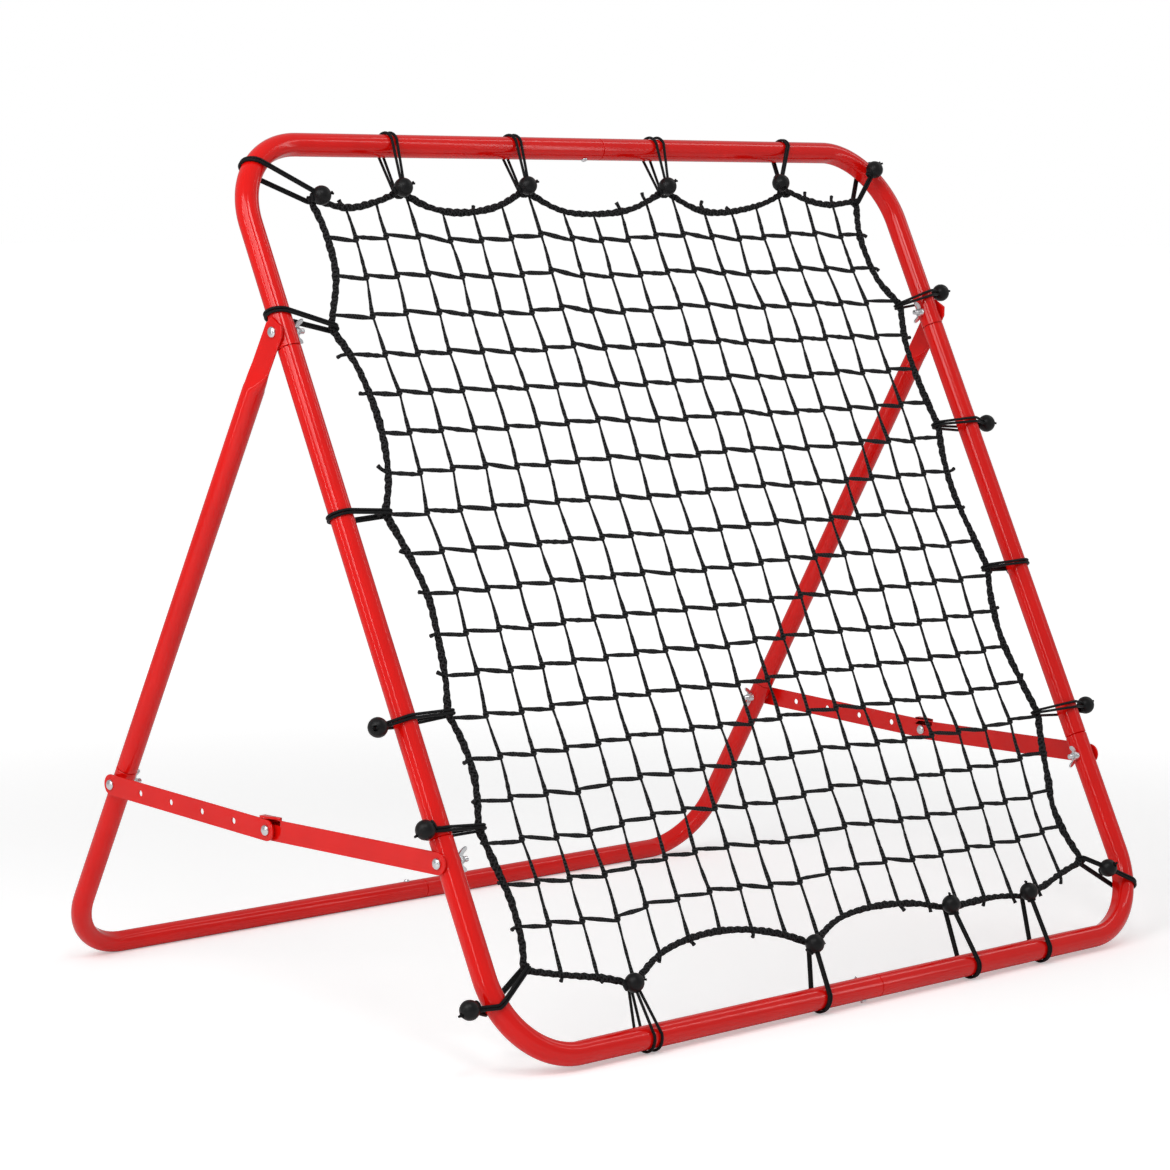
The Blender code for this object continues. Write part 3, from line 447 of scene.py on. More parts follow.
def bent_tube(node, start, corner, end, radius, bend, swaged_end):
    """A tube bent once, from its open end at start to the splice at end."""
    arc = fillet(start, corner, end, bend, BEND_STEPS)
    path = straight(start, arc[0], SHORT_RUN) + arc + straight(arc[-1], end, LONG_RUN)[1:] + [end]
    middle = SHORT_RUN + BEND_STEPS / 2
    flats = []
    for i in range(len(path)):
        share = smooth_step((BEND_STEPS / 2 + 1.5 - abs(i - middle)) / 4)
        flats.append(BEND_FLAT * share)
    radii = [radius] * len(path)
    along = (end - corner).normalized()
    into = (start - corner).normalized()
    path[0:1] = [start, start - into * EDGE]
    radii[0:1] = [radius - EDGE, radius]
    flats.insert(0, 0.0)
    if swaged_end:
        path[-1:] = [end - along * (GAP + GROOVE), end - along * GAP, end + along * GROOVE]
        radii[-1:] = [radius, radius * SPIGOT / FRAME_RADIUS, radius * SPIGOT / FRAME_RADIUS]
        flats += [0.0, 0.0]
    else:
        path[-1:] = [end - along * EDGE, end]
        radii[-1:] = [radius, radius - EDGE]
        flats.append(0.0)
    inward = along if abs(along.dot(into)) < 0.5 else (along - into * along.dot(into)).normalized()
    shape = Shape()
    shape.tube(path, radii, TUBE_SIDES, normal=inward, flats=flats)
    settle(shape.make(f"{node}_tube", PAINT), node)


def straight_tube(node, low, high, radius):
    """A tube with both ends swaged."""
    along = (high - low).normalized()
    narrow = radius * SPIGOT / FRAME_RADIUS
    path = [low - along * GROOVE, low + along * GAP, low + along * (GAP + GROOVE),
            high - along * (GAP + GROOVE), high - along * GAP, high + along * GROOVE]
    shape = Shape()
    shape.tube(path, [narrow, narrow, radius, radius, narrow, narrow], TUBE_SIDES)
    settle(shape.make(f"{node}_tube", PAINT), node)


def net_frame():
    """Two side tubes between two pairs of corner tubes."""
    for name, side in SIDES.items():
        u = side * HALF
        for level, rail, seam in (("top", FRAME_HEIGHT, UPPER_SEAM), ("bottom", 0.0, LOWER_SEAM)):
            bent_tube(f"frame_{level}_{name}", plane_point(u, seam), plane_point(u, rail),
                      plane_point(SPLICE, rail), FRAME_RADIUS, FRAME_BEND, side > 0)
        straight_tube(f"frame_side_{name}", plane_point(u, LOWER_SEAM), plane_point(u, UPPER_SEAM),
                      FRAME_RADIUS)


def leg_ring(side, down, half_width, half_depth, flatness):
    """One section of a leg: round at flatness 1, and a thin plate above it."""
    ring = []
    for k in range(TUBE_SIDES):
        angle = 2 * math.pi * k / TUBE_SIDES
        depth = math.sin(angle) * flatness
        depth = math.copysign(soft_limit(abs(depth), 1.0, 0.1 * (flatness - 1)), depth)
        ring.append(leg_point(side, down, half_width * math.cos(angle), half_depth * depth))
    return ring


def leg(name, side):
    """A tube pressed flat at its upper end, with clipped corners."""
    narrow = STAND_RADIUS * SPIGOT / FRAME_RADIUS
    plate = PLATE / 2
    rings = [
        leg_ring(side, -PLATE_REACH, PLATE_CORNER / 2 - EDGE, plate - EDGE, PLATE_FLATNESS),
        leg_ring(side, -PLATE_REACH + EDGE, PLATE_CORNER / 2, plate, PLATE_FLATNESS),
        leg_ring(side, -PLATE_REACH / 4, PLATE_WIDTH / 2, plate, PLATE_FLATNESS),
        leg_ring(side, FLAT_END, PLATE_WIDTH / 2, plate, PLATE_FLATNESS),
    ]
    for i in range(1, PRESS_STEPS + 1):
        share = i / PRESS_STEPS
        eased = share**1.5
        rings.append(leg_ring(side, FLAT_END + (ROUND_START - FLAT_END) * share,
                              PLATE_WIDTH / 2 + (STAND_RADIUS - PLATE_WIDTH / 2) * eased,
                              plate + (STAND_RADIUS - plate) * eased,
                              1 + (PLATE_FLATNESS - 1) * (1 - eased)**2))
    rings += [
        leg_ring(side, LEG_SEAM - GAP - GROOVE, STAND_RADIUS, STAND_RADIUS, 1.0),
        leg_ring(side, LEG_SEAM - GAP, narrow, narrow, 1.0),
        leg_ring(side, LEG_SEAM + GROOVE, narrow, narrow, 1.0),
    ]
    shape = Shape()
    shape.loft(rings if side > 0 else [ring[::-1] for ring in rings])
    settle(shape.make(f"leg_{name}_tube", PAINT), f"leg_{name}")


def stand():
    """Two legs and the foot tube's two halves."""
    foot = PIVOT + DOWN_LEG * LEG_LENGTH
    for name, side in SIDES.items():
        leg(name, side)
        bent_tube(f"foot_{name}", leg_point(side, LEG_SEAM), leg_point(side, LEG_LENGTH),
                  Vector((SPLICE, foot.y, foot.z)), STAND_RADIUS, STAND_BEND, side > 0)


# ---- brace bars ----
BAR_EDGE = 0.00035
LIP_CLIP = 0.002             # where the clip of the lip's free corner starts, ahead of the elbow's bolt


def flat_outline(name, loops, thickness):
    """A bevelled plate along local X and Y from its outline and its holes, as a mesh."""
    curve = bpy.data.curves.new(name, "CURVE")
    curve.dimensions = "2D"
    curve.fill_mode = "BOTH"
    curve.extrude = thickness / 2 - BAR_EDGE
    curve.bevel_depth = BAR_EDGE
    curve.bevel_resolution = 1
    curve.offset = -BAR_EDGE
    for loop in loops:
        spline = curve.splines.new("POLY")
        spline.points.add(len(loop) - 1)
        for place, (x, y) in zip(spline.points, loop):
            place.co = (x, y, 0, 1)
        spline.use_cyclic_u = True
    drawn = bpy.data.objects.new(name, curve)
    bpy.context.scene.collection.objects.link(drawn)
    bpy.context.view_layer.update()
    mesh = bpy.data.meshes.new_from_object(drawn.evaluated_get(bpy.context.evaluated_depsgraph_get()))
    bpy.data.objects.remove(drawn, do_unlink=True)
    bpy.data.curves.remove(curve)
    return mesh


def circle(x, y, radius, steps, start=0.0, turn=2 * math.pi):
    """Points on a circle, or on a part of one with both ends."""
    last = steps if turn == 2 * math.pi else steps - 1
    angles = [start + turn * i / last for i in range(steps)]
    return [(x + radius * math.cos(angle), y + radius * math.sin(angle)) for angle in angles]


def join(name, meshes, finish):
    """One object from several meshes."""
    made = []
    for i, mesh in enumerate(meshes):
        mesh.materials.clear()
        mesh.materials.append(finish)
        mesh.shade_smooth()
        mesh.set_sharp_from_angle(angle=math.radians(32))
        piece = bpy.data.objects.new(name if i == 0 else f"{name}_{i}", mesh)
        bpy.context.scene.collection.objects.link(piece)
        made.append(piece)
    if len(made) > 1:
        with bpy.context.temp_override(active_object=made[0], selected_editable_objects=made):
            bpy.ops.object.join()
    return made[0]


def flange(side, start, corner, end, reach, top):
    """The stop lip's upper leaf, which lies over the rear bar and has a clipped free corner."""
    low, high = -BAR / 2, reach - BAR / 2
    outline = [(start, low), (end, low), (end, high), (corner, high), (start, BAR / 2)]
    mesh = flat_outline("flange", [[(x, y * side) for x, y in outline]], LIP)
    mesh.transform(Matrix.Translation((0, top - LIP / 2, 0)) @ Matrix.Rotation(math.pi / 2, 4, "X"))
    return mesh


def bar_outline(run):
    """A flat bar's outline, round about both of its end bolts."""
    radius = BAR_HEIGHT / 2
    return (circle(run, 0, radius, 25, -math.pi / 2, math.pi)
            + circle(0, 0, radius, 25, math.pi / 2, math.pi))


def lay_bar(piece, side, start, end, outwards):
    """Lays a bar's local X from start to end and its local Z along world X."""
    along = (end - start).normalized()
    turn = Matrix((along, X_AXIS.cross(along), X_AXIS)).transposed()
    place = side_point(side, start, outwards + BAR / 2)
    piece.matrix_world = Matrix.Translation(place) @ turn.to_4x4()


def braces():
    """Front bars with their stop lips, and rear bars with their row of holes."""
    length = (ELBOW - FRONT_END).length
    rear_length = HOLE_PITCH * (REAR_BAR_HOLES - 1)
    radius = BAR_HEIGHT / 2
    elbow = (ELBOW - FRONT_END).angle(REAR_END - ELBOW)
    top = radius / math.cos(elbow) + LIP_BEHIND * math.tan(elbow) + GAP + LIP
    reach = REAR_BAR_AT + BAR + GAP - FRONT_BAR_AT
    lip_start, lip_end = length - LIP_AHEAD, length + LIP_BEHIND
    root = [(lip_start, radius / 2), (lip_end, radius / 2), (lip_end, top), (lip_start, top)]
    holes = [circle(HOLE_PITCH * i, 0, BOLT_RADIUS + GAP, 24) for i in range(REAR_BAR_HOLES)]
    for name, side in SIDES.items():
        front = join(f"front_bar_{name}_strip", [
            flat_outline("bar", [bar_outline(length)], BAR),
            flat_outline("block", [root], BAR),
            flange(side, lip_start, length - LIP_CLIP, lip_end, reach, top),
        ], PAINT)
        lay_bar(front, side, FRONT_END, ELBOW, FRONT_BAR_AT)
        settle(front, f"front_bar_{name}")
        punched = flat_outline("bar", [bar_outline(rear_length), *holes], BAR)
        rear = join(f"rear_bar_{name}_strip", [punched], PAINT)
        lay_bar(rear, side, ELBOW, REAR_END, REAR_BAR_AT)
        settle(rear, f"rear_bar_{name}")


# ---- fasteners ----
TURNS = 32
THREAD = 0.0010              # pitch
THREAD_DEPTH = 0.0004
DOME_STEPS = 8
WING_SPAN = 0.013
WING_TOP = 0.0116
WING = 0.0021                # thickness


def turned(profile, steps=TURNS):
    """A round solid from its (radius, height) profile, as a shape."""
    shape = Shape()
    rings = []
    for radius, height in profile:
        radius = max(radius, 0.00001)
        rings.append([Vector((x, y, height)) for x, y in circle(0, 0, radius, steps)])
    shape.loft(rings)
    return shape


def dome(seat):
    """A carriage bolt's head, from its seat up."""
    rim = 0.0006
    profile = [(HEAD_RADIUS - 0.0002, seat), (HEAD_RADIUS, seat + 0.0002), (HEAD_RADIUS, seat + rim)]
    for i in range(1, DOME_STEPS + 1):
        angle = math.pi / 2 * i / DOME_STEPS
        height = seat + rim + (HEAD_HEIGHT - rim) * math.sin(angle)
        profile.append((HEAD_RADIUS * math.cos(angle), height))
    return profile


def thread(low, high):
    """A threaded shank's profile from low up to high, chamfered at its tip."""
    profile = [(0, low), (BOLT_RADIUS - 2 * THREAD_DEPTH, low)]
    height = low + THREAD / 2
    while height < high - THREAD:
        profile += [(BOLT_RADIUS, height), (BOLT_RADIUS - THREAD_DEPTH, height + THREAD / 2)]
        height += THREAD
    profile.append((BOLT_RADIUS, high))
    return profile


def outward(side):
    """Turns local Z to world X, away from the frame's middle."""
    return Matrix.Rotation(side * math.pi / 2, 4, "Y")


def fix(shape, label, node, point, side, direction, outwards=0.0):
    """Places a fastener on a side of the frame, with its local Z along direction times world X."""
    piece = shape if isinstance(shape, bpy.types.Object) else shape.make(f"{node}_{label}", ZINC)
    piece.matrix_world = Matrix.Translation(side_point(side, point, outwards)) @ outward(direction)
    return settle(piece, node)


def wing_nut(node):
    """A cast wing nut that stands on z = 0: a coned hub and two thumb wings."""
    bore = BOLT_RADIUS + GAP
    hub = turned([(bore, 0.0), (0.0055, 0.0), (0.0055, 0.0012), (0.0044, 0.0058), (0.0039, 0.0065),
                  (bore, 0.0065), (bore, 0.0)]).make(f"{node}_nut", ZINC)
    meshes = [hub.data]
    corners = [Vector(place) for place in (
        (0.0038, 0.0008), (0.0078, 0.0020), (0.0112, 0.0058), (WING_SPAN, 0.0098),
        (0.0117, WING_TOP), (0.0088, 0.0105), (0.0062, 0.0070), (0.0038, 0.0058),
    )]
    for side in SIDES.values():
        smooth = [(point.x * side, point.y) for point in rounded(corners, 4, closed=True)]
        wing = flat_outline("wing", [smooth], WING)
        wing.transform(Matrix.Rotation(math.pi / 2, 4, "X"))
        meshes.append(wing)
    bpy.data.objects.remove(hub, do_unlink=True)
    return join(f"{node}_nut", meshes, ZINC)


def fasteners():
    """Bolts, nuts and spacers at the pivots, the elbows and the braces' ends."""
    seat = FRAME_RADIUS + GAP
    leg_out = leg_offset(LEG_BRACE) + STAND_RADIUS + GAP
    leg_in = leg_offset(LEG_BRACE) - STAND_RADIUS - GAP
    stack = REAR_BAR_AT + BAR + GAP
    inner = FRONT_BAR_AT - GAP
    bore = BOLT_RADIUS + GAP
    corner = NUT_ACROSS / 2 / math.cos(math.pi / 6)
    for name, side in SIDES.items():
        for label, point, head in (("pivot", PIVOT, PLATE_AT + PLATE + GAP),
                                   ("front", FRONT_END, FRONT_BAR_AT + BAR + GAP)):
            bolt = turned(thread(-seat - TAIL, -seat) + [(BOLT_RADIUS, head)] + dome(head))
            fix(bolt, "shank", f"{label}_bolt_{name}", point, side, side)
            nut = f"{label}_wing_nut_{name}"
            fix(wing_nut(nut), "nut", nut, point, side, -side, -seat)
        face = REAR_BAR_AT - GAP
        collar = [(BOLT_RADIUS, leg_out), (HEAD_RADIUS, leg_out), (HEAD_RADIUS, face), (0, face)]
        shank = turned(thread(leg_in - TAIL, leg_in) + collar)
        fix(shank, "shank", f"rear_bolt_{name}", REAR_END, side, side)
        stub = [(0, REAR_BAR_AT), (BOLT_RADIUS, REAR_BAR_AT), (BOLT_RADIUS, stack)]
        fix(turned(stub + dome(stack)), "dome", f"rear_bolt_head_{name}", REAR_END, side, side)
        nut = f"rear_wing_nut_{name}"
        fix(wing_nut(nut), "nut", nut, REAR_END, side, -side, leg_in)
        spacer = [(bore, SPACER_AT), (HEAD_RADIUS, SPACER_AT), (HEAD_RADIUS, SPACER_AT + SPACER),
                  (bore, SPACER_AT + SPACER)]
        fix(turned(spacer), "sleeve", f"mid_spacer_{name}", ELBOW, side, side)
        # The left elbow's bolt has its head outside, the right one's is inside.
        head, nut_at, facing = (stack, inner, side) if side < 0 else (-inner, -stack, -side)
        shank = thread(nut_at - NUT - NUT_TAIL, nut_at) + [(BOLT_RADIUS, head)] + dome(head)
        fix(turned(shank), "shank", f"mid_bolt_{name}", ELBOW, side, facing)
        nut = turned([(bore, 0), (corner * 0.92, 0), (corner, 0.0005), (corner, NUT - 0.0005),
                      (corner * 0.92, NUT), (bore, NUT), (bore, 0)], 6)
        fix(nut, "hex", f"mid_nut_{name}", ELBOW, side, -facing, abs(nut_at))


def splice_screws():
    """Pan head screws beside each splice, of which the bottom rail's goes right through."""
    foot = PIVOT + DOWN_LEG * LEG_LENGTH
    across = SPLICE - SPLICE_SCREW
    short, long = 0.014, 0.028
    for node, middle, direction, outer, length in (
        ("top_screw", plane_point(across, FRAME_HEIGHT), -UP, FRAME_RADIUS, short),
        ("bottom_screw", plane_point(across, 0), -UP, FRAME_RADIUS, long),
        ("foot_screw", Vector((across, foot.y, foot.z)), Vector((0, 0, 1)), STAND_RADIUS, short),
    ):
        seat = outer + GAP
        tip = seat - length
        profile = [(0, tip), (SCREW_RADIUS * 0.35, tip + 0.0008),
                   (SCREW_RADIUS * 0.8, tip + SCREW_RADIUS)]
        height = tip + SCREW_RADIUS
        while height < seat - 2 * THREAD:
            profile += [(SCREW_RADIUS, height + THREAD / 2), (SCREW_RADIUS * 0.78, height + THREAD)]
            height += THREAD
        profile += [(SCREW_RADIUS, seat)]
        for wide, high in ((1, 0), (1, 0.4), (0.8, 0.9), (0.4, 1), (0.25, 0.5), (0, 0.5)):
            profile.append((SCREW_HEAD_RADIUS * wide, seat + SCREW_HEAD_HEIGHT * high))
        piece = turned(profile, 24).make(f"{node}_pan", ZINC)
        turn = direction.to_track_quat("Z", "Y").to_matrix()
        piece.matrix_world = Matrix.Translation(middle) @ turn.to_4x4()
        settle(piece, node)


# ---- border rope ----
# Its route in the frame's plane, (u, v), anticlockwise from the bottom left corner.
ROPE_BOTTOM = (
    (-0.447, 0.092), (-0.400, 0.080), (-0.350, 0.069), (-0.310, 0.056), (-0.258, 0.082), (-0.196, 0.092),
    (-0.137, 0.089), (-0.083, 0.076), (-0.041, 0.058), (0.008, 0.079), (0.066, 0.085), (0.130, 0.080),
    (0.186, 0.066), (0.223, 0.068), (0.270, 0.068), (0.318, 0.062), (0.356, 0.070), (0.392, 0.080),
)
ROPE_RIGHT = (
    (0.434, 0.089), (0.420, 0.125), (0.416, 0.160), (0.424, 0.192), (0.434, 0.234), (0.446, 0.272),
    (0.436, 0.315), (0.428, 0.367), (0.434, 0.417), (0.447, 0.456), (0.440, 0.500), (0.433, 0.550),
    (0.436, 0.596), (0.447, 0.640), (0.440, 0.690), (0.440, 0.745), (0.454, 0.797), (0.430, 0.831),
    (0.424, 0.870), (0.427, 0.900),
)
ROPE_TOP = (
    (0.440, 0.936), (0.391, 0.931), (0.357, 0.936), (0.323, 0.949), (0.270, 0.931), (0.205, 0.921),
    (0.160, 0.925), (0.117, 0.948), (0.053, 0.925), (-0.013, 0.919), (-0.060, 0.925), (-0.102, 0.948),
    (-0.152, 0.928), (-0.206, 0.921), (-0.248, 0.927), (-0.285, 0.946), (-0.322, 0.934), (-0.366, 0.927),
)
ROPE_LEFT = (
    (-0.412, 0.938), (-0.405, 0.900), (-0.409, 0.849), (-0.437, 0.790), (-0.420, 0.750), (-0.413, 0.708),
    (-0.414, 0.663), (-0.424, 0.619), (-0.442, 0.582), (-0.428, 0.535), (-0.420, 0.490), (-0.424, 0.443),
    (-0.431, 0.400), (-0.442, 0.364), (-0.434, 0.330), (-0.434, 0.290), (-0.448, 0.242), (-0.443, 0.208),
    (-0.436, 0.165), (-0.438, 0.123),
)

# Each tie: where it goes round the tube (u, v), where it goes round the border rope (u, v), its ball's
# middle (u, v, w), half the room between its two strands on the tube, and where the ball's hole faces.
TIES = {
    "tie_top_1": ((-0.282, 1.0), (-0.285, 0.946), (-0.291, 0.944, -0.0145), 0.0034, (0.8, 0.15, -0.6)),
    "tie_top_2": ((-0.101, 1.0), (-0.102, 0.948), (-0.109, 0.947, -0.0145), 0.0036, (0.8, 0.15, -0.6)),
    "tie_top_3": ((0.12, 1.0), (0.117, 0.948), (0.109, 0.947, -0.0145), 0.006, (0.7, 0.3, -0.65)),
    "tie_top_4": ((0.335, 1.0), (0.323, 0.949), (0.3, 0.952, -0.015), 0.0017, (-0.2, -0.9, -0.4)),
    "tie_top_right": ((0.473, 0.973), (0.44, 0.936), (0.463, 0.966, -0.0245), 0.0017, (0.7, 0.5, -0.5)),
    "tie_right_1": ((0.5, 0.806), (0.454, 0.797), (0.536, 0.812, 0.0), 0.003, (0.95, 0.1, -0.3)),
    "tie_right_2": ((0.5, 0.639), (0.447, 0.64), (0.536, 0.638, 0.0), 0.0024, (0.95, -0.1, -0.3)),
    "tie_right_3": ((0.5, 0.455), (0.447, 0.456), (0.517, 0.457, 0.018), 0.0018, (0.97, -0.1, 0.0)),
    "tie_right_4": ((0.5, 0.272), (0.446, 0.272), (0.536, 0.272, 0.0), 0.0032, (0.9, 0.35, -0.2)),
    "tie_bottom_right": ((0.4918, 0.054), (0.434, 0.089), (0.455, 0.072, -0.016), 0.0017, (0.15, 0.1, -0.97)),
    "tie_bottom_4": ((0.312, 0.0), (0.318, 0.062), (0.308, 0.064, -0.0145), 0.0017, (-0.2, 0.95, -0.2)),
    "tie_bottom_3": ((0.188, 0.0), (0.186, 0.066), (0.175, 0.068, -0.0145), 0.0017, (-0.1, 0.95, -0.3)),
    "tie_bottom_2": ((-0.055, 0.0), (-0.041, 0.058), (-0.053, 0.056, -0.0145), 0.0017, (0.6, 0.6, -0.5)),
    "tie_bottom_1": ((-0.312, 0.0), (-0.31, 0.056), (-0.322, 0.055, -0.0145), 0.0052, (0.85, 0.1, -0.5)),
    "tie_bottom_left": ((-0.4955, 0.063), (-0.447, 0.092), (-0.53, 0.064, 0.0), 0.0017, (-0.9, -0.3, 0.3)),
    "tie_left_4": ((-0.5, 0.2435), (-0.448, 0.242), (-0.5226, 0.247, -0.0075), 0.0017, (-0.75, -0.3, 0.6)),
    "tie_left_3": ((-0.5, 0.362), (-0.442, 0.364), (-0.536, 0.359, 0.0), 0.0017, (-0.8, -0.2, -0.55)),
    "tie_left_2": ((-0.5, 0.583), (-0.442, 0.582), (-0.483, 0.583, 0.018), 0.0017, (0.2, 0.1, 0.97)),
    "tie_left_1": ((-0.5, 0.8055), (-0.437, 0.79), (-0.483, 0.81, 0.0185), 0.0017, (0.2, 0.1, 0.97)),
    "tie_top_left": ((-0.473, 0.973), (-0.412, 0.938), (-0.408, 0.934, -0.015), 0.0017, (0.85, 0.0, -0.5)),
}
ROPE_STEPS = 9               # from one point of the route to the next
ROPE_PITCH = 0.034           # of the three strands' twist
ROPE_STRAND = 0.58           # a strand's radius, as a share of the rope's


def rope_path():
    """The rope's centre-line, smooth but for a kink at each tie."""
    route = [Vector(place) for place in ROPE_BOTTOM + ROPE_RIGHT + ROPE_TOP + ROPE_LEFT]
    tips = [Vector(tie[1]) for tie in TIES.values()]
    kinks = [i for i, place in enumerate(route) if min((place - tip).length for tip in tips) < 0.001]
    path = []
    for i, start in enumerate(kinks):
        stop = kinks[(i + 1) % len(kinks)]
        run = route[start:stop + 1] if stop > start else route[start:] + route[:stop + 1]
        path += rounded(run, ROPE_STEPS)[:-1]
    return [plane_point(place.x, place.y) for place in path]


def rope():
    """Three strands laid round each other, with random lumps like those where the net's own cords are worked
    in.
    """
    path = rope_path()
    draw = random.Random(7)
    rough = [draw.uniform(-1, 1) for _ in path]
    lumps = [1 + 0.16 * (rough[i] + rough[i - 1] + rough[i - 2]) / 2 for i in range(len(path))]
    frames = moving_frame(path, closed=True, normal=BEHIND)
    length = sum((after - before).length for before, after in zip(path, path[1:] + path[:1]))
    turns = round(length / ROPE_PITCH)
    shape = Shape()
    for strand in range(3):
        run = 0.0
        line = []
        for i, (point, (side, out)) in enumerate(zip(path, frames)):
            angle = 2 * math.pi * (turns * run / length + strand / 3)
            off = ROPE_RADIUS * (1 - ROPE_STRAND) * lumps[i]
            line.append(point + side * off * math.cos(angle) + out * off * math.sin(angle))
            run += (path[(i + 1) % len(path)] - point).length
        shape.tube(line, [ROPE_RADIUS * ROPE_STRAND * lump for lump in lumps], 8, closed=True)
    return shape


# ---- net ----
COLUMNS = 18                 # upright cords
ROWS = 18                    # level cords
BOW_SHARE = 0.36             # of the rope's bows that reaches the first row or column, and how many
BOW_REACH = 4.5              # of them it takes to die out
KNOT_STEP = 0.0027           # a level cord joins this much below or above a knot's middle
KNOT_RADIUS = 0.0035
THIN = 0.0015
THICK = 0.0027
KNOT_LEAN = 0.0006           # of an upright cord's turns, sideways
LOOSE = 0.0012               # how far a knot is off its regular place
UPRIGHT = (THIN, THIN, THIN * 1.3, THICK * 0.85, THICK * 0.9)     # radii on the way to the next knot
LEVEL = (THIN, THICK * 0.85, THICK, THICK * 0.9, THIN)
SLACK = 0.0008
STRAND_RINGS = 9


def along_route(route, target, axis):
    """The place on a side of the rope's route where it passes target along axis."""
    for start, end in zip(route, route[1:]):
        low, high = sorted((start[axis], end[axis]))
        if low <= target <= high:
            return Vector(start).lerp(Vector(end), (target - start[axis]) / (end[axis] - start[axis]))
    return Vector(route[-1])


def bow(steps):
    """The share of the rope's bows that is left some rows or columns into the net."""
    return BOW_SHARE * math.exp(-steps / BOW_REACH) if steps else 1.0


def knot_grid():
    """The knots' places in the frame's plane, from the rope (0 and the last) to the rope."""
    edges = []
    for route, axis, count in (
        ([*ROPE_BOTTOM, ROPE_RIGHT[0]], 0, COLUMNS),
        ([*ROPE_TOP, ROPE_LEFT[0]][::-1], 0, COLUMNS),
        ([*ROPE_LEFT, ROPE_BOTTOM[0]][::-1], 1, ROWS),
        ([*ROPE_RIGHT, ROPE_TOP[0]], 1, ROWS),
    ):
        first, last = route[0][axis], route[-1][axis]
        edge = [along_route(route, first + (last - first) * i / (count + 1), axis)
                for i in range(count + 2)]
        edge[0], edge[-1] = Vector(route[0]), Vector(route[-1])
        edges.append(edge)
    bottom, top, left, right = edges
    draw = random.Random(3)
    grid = []
    for j in range(ROWS + 2):
        t = j / (ROWS + 1)
        row = []
        for i in range(COLUMNS + 2):
            s = i / (COLUMNS + 1)
            low = bottom[0].lerp(bottom[-1], s)
            high = top[0].lerp(top[-1], s)
            near = left[0].lerp(left[-1], t)
            far = right[0].lerp(right[-1], t)
            place = low.lerp(high, t)
            place += (bottom[i] - low) * bow(j) + (top[i] - high) * bow(ROWS + 1 - j)
            place += (left[j] - near) * bow(i) + (right[j] - far) * bow(COLUMNS + 1 - i)
            if 0 < i <= COLUMNS and 0 < j <= ROWS:
                place += Vector((draw.uniform(-1, 1), draw.uniform(-1, 1))) * LOOSE
            row.append(place)
        grid.append(row)
    return grid


def cord_run(shape, start, end, widths, draw):
    """One cord between two knots, with its thickness on the way and a little slack."""
    sag = draw.uniform(-1, 1) * SLACK
    path, radii = [], []
    for k in range(STRAND_RINGS):
        t = k / (STRAND_RINGS - 1)
        place = start.lerp(end, t) + BEHIND * sag * math.sin(math.pi * t)
        span = t * (len(widths) - 1)
        lower = min(int(span), len(widths) - 2)
        width = widths[lower] + (widths[lower + 1] - widths[lower]) * (span - lower)
        path.append(place)
        radii.append(width * (1 + 0.14 * draw.uniform(-1, 1)))
    shape.tube(path, radii, 6)


def net():
    """Square meshes: upright cords that swell towards the next knot, and spindle-shaped level ones."""
    grid = knot_grid()
    draw = random.Random(11)
    shape = Shape()
    depth = [[draw.uniform(-LOOSE, LOOSE) for _ in row] for row in grid]

    def spot(i, j, across=0.0, up=0.0):
        on_rope = i in (0, COLUMNS + 1) or j in (0, ROWS + 1)
        place = grid[j][i]
        if on_rope:
            return plane_point(place.x, place.y)
        return plane_point(place.x + across, place.y + up, depth[j][i])

    for j in range(ROWS + 2):
        for i in range(COLUMNS + 2):
            inside_column = 0 < i <= COLUMNS
            inside_row = 0 < j <= ROWS
            if inside_column and inside_row:
                path = [spot(i, j, KNOT_LEAN * across, KNOT_STEP * up)
                        for across, up in ((-1, -1.3), (-1, -0.6), (0, 0), (1, 0.6), (1, 1.3))]
                shape.tube(path, [THICK * 0.8, KNOT_RADIUS, KNOT_RADIUS * 0.9, KNOT_RADIUS, THICK], 8)
            if inside_column and j <= ROWS:
                cord_run(shape, spot(i, j + 1, 0, -KNOT_STEP), spot(i, j, 0, KNOT_STEP), UPRIGHT, draw)
            if inside_row and i <= COLUMNS:
                cord_run(shape, spot(i, j, 0, KNOT_STEP), spot(i + 1, j, 0, -KNOT_STEP), LEVEL, draw)
    cut_ends(shape, grid, draw)
    return shape


def cut_ends(shape, grid, draw):
    """Short ends of the net's cords, which stick out of the rope."""
    edge = ([(i, j) for i in range(1, COLUMNS + 1) for j in (0, ROWS + 1)]
            + [(i, j) for j in range(1, ROWS + 1) for i in (0, COLUMNS + 1)])
    for i, j in edge:
        length = draw.choice((0.0, 0.0, 0.002, 0.003, 0.0035, 0.005, 0.0075))
        lean = draw.uniform(-0.9, 0.9)
        hook = draw.uniform(-0.9, 0.9)
        depth = draw.uniform(-0.4, 0.4)
        if not length:
            continue
        place = grid[j][i]
        out = Vector((0, math.copysign(1, place.y - FRAME_HEIGHT / 2)))
        if 0 < j <= ROWS:
            out = Vector((math.copysign(1, place.x), 0))
        aside = Vector((-out.y, out.x))
        reach = ROPE_RADIUS + length
        bend = place + (out + aside * lean).normalized() * reach * 0.7
        tip = bend + (out + aside * (lean + hook)).normalized() * reach * 0.45
        behind = depth * reach
        path = [plane_point(*place), plane_point(*bend, behind), plane_point(*tip, behind)]
        shape.tube(path, [THICK * 0.8, THICK * 0.75, THICK * 0.9], 6)


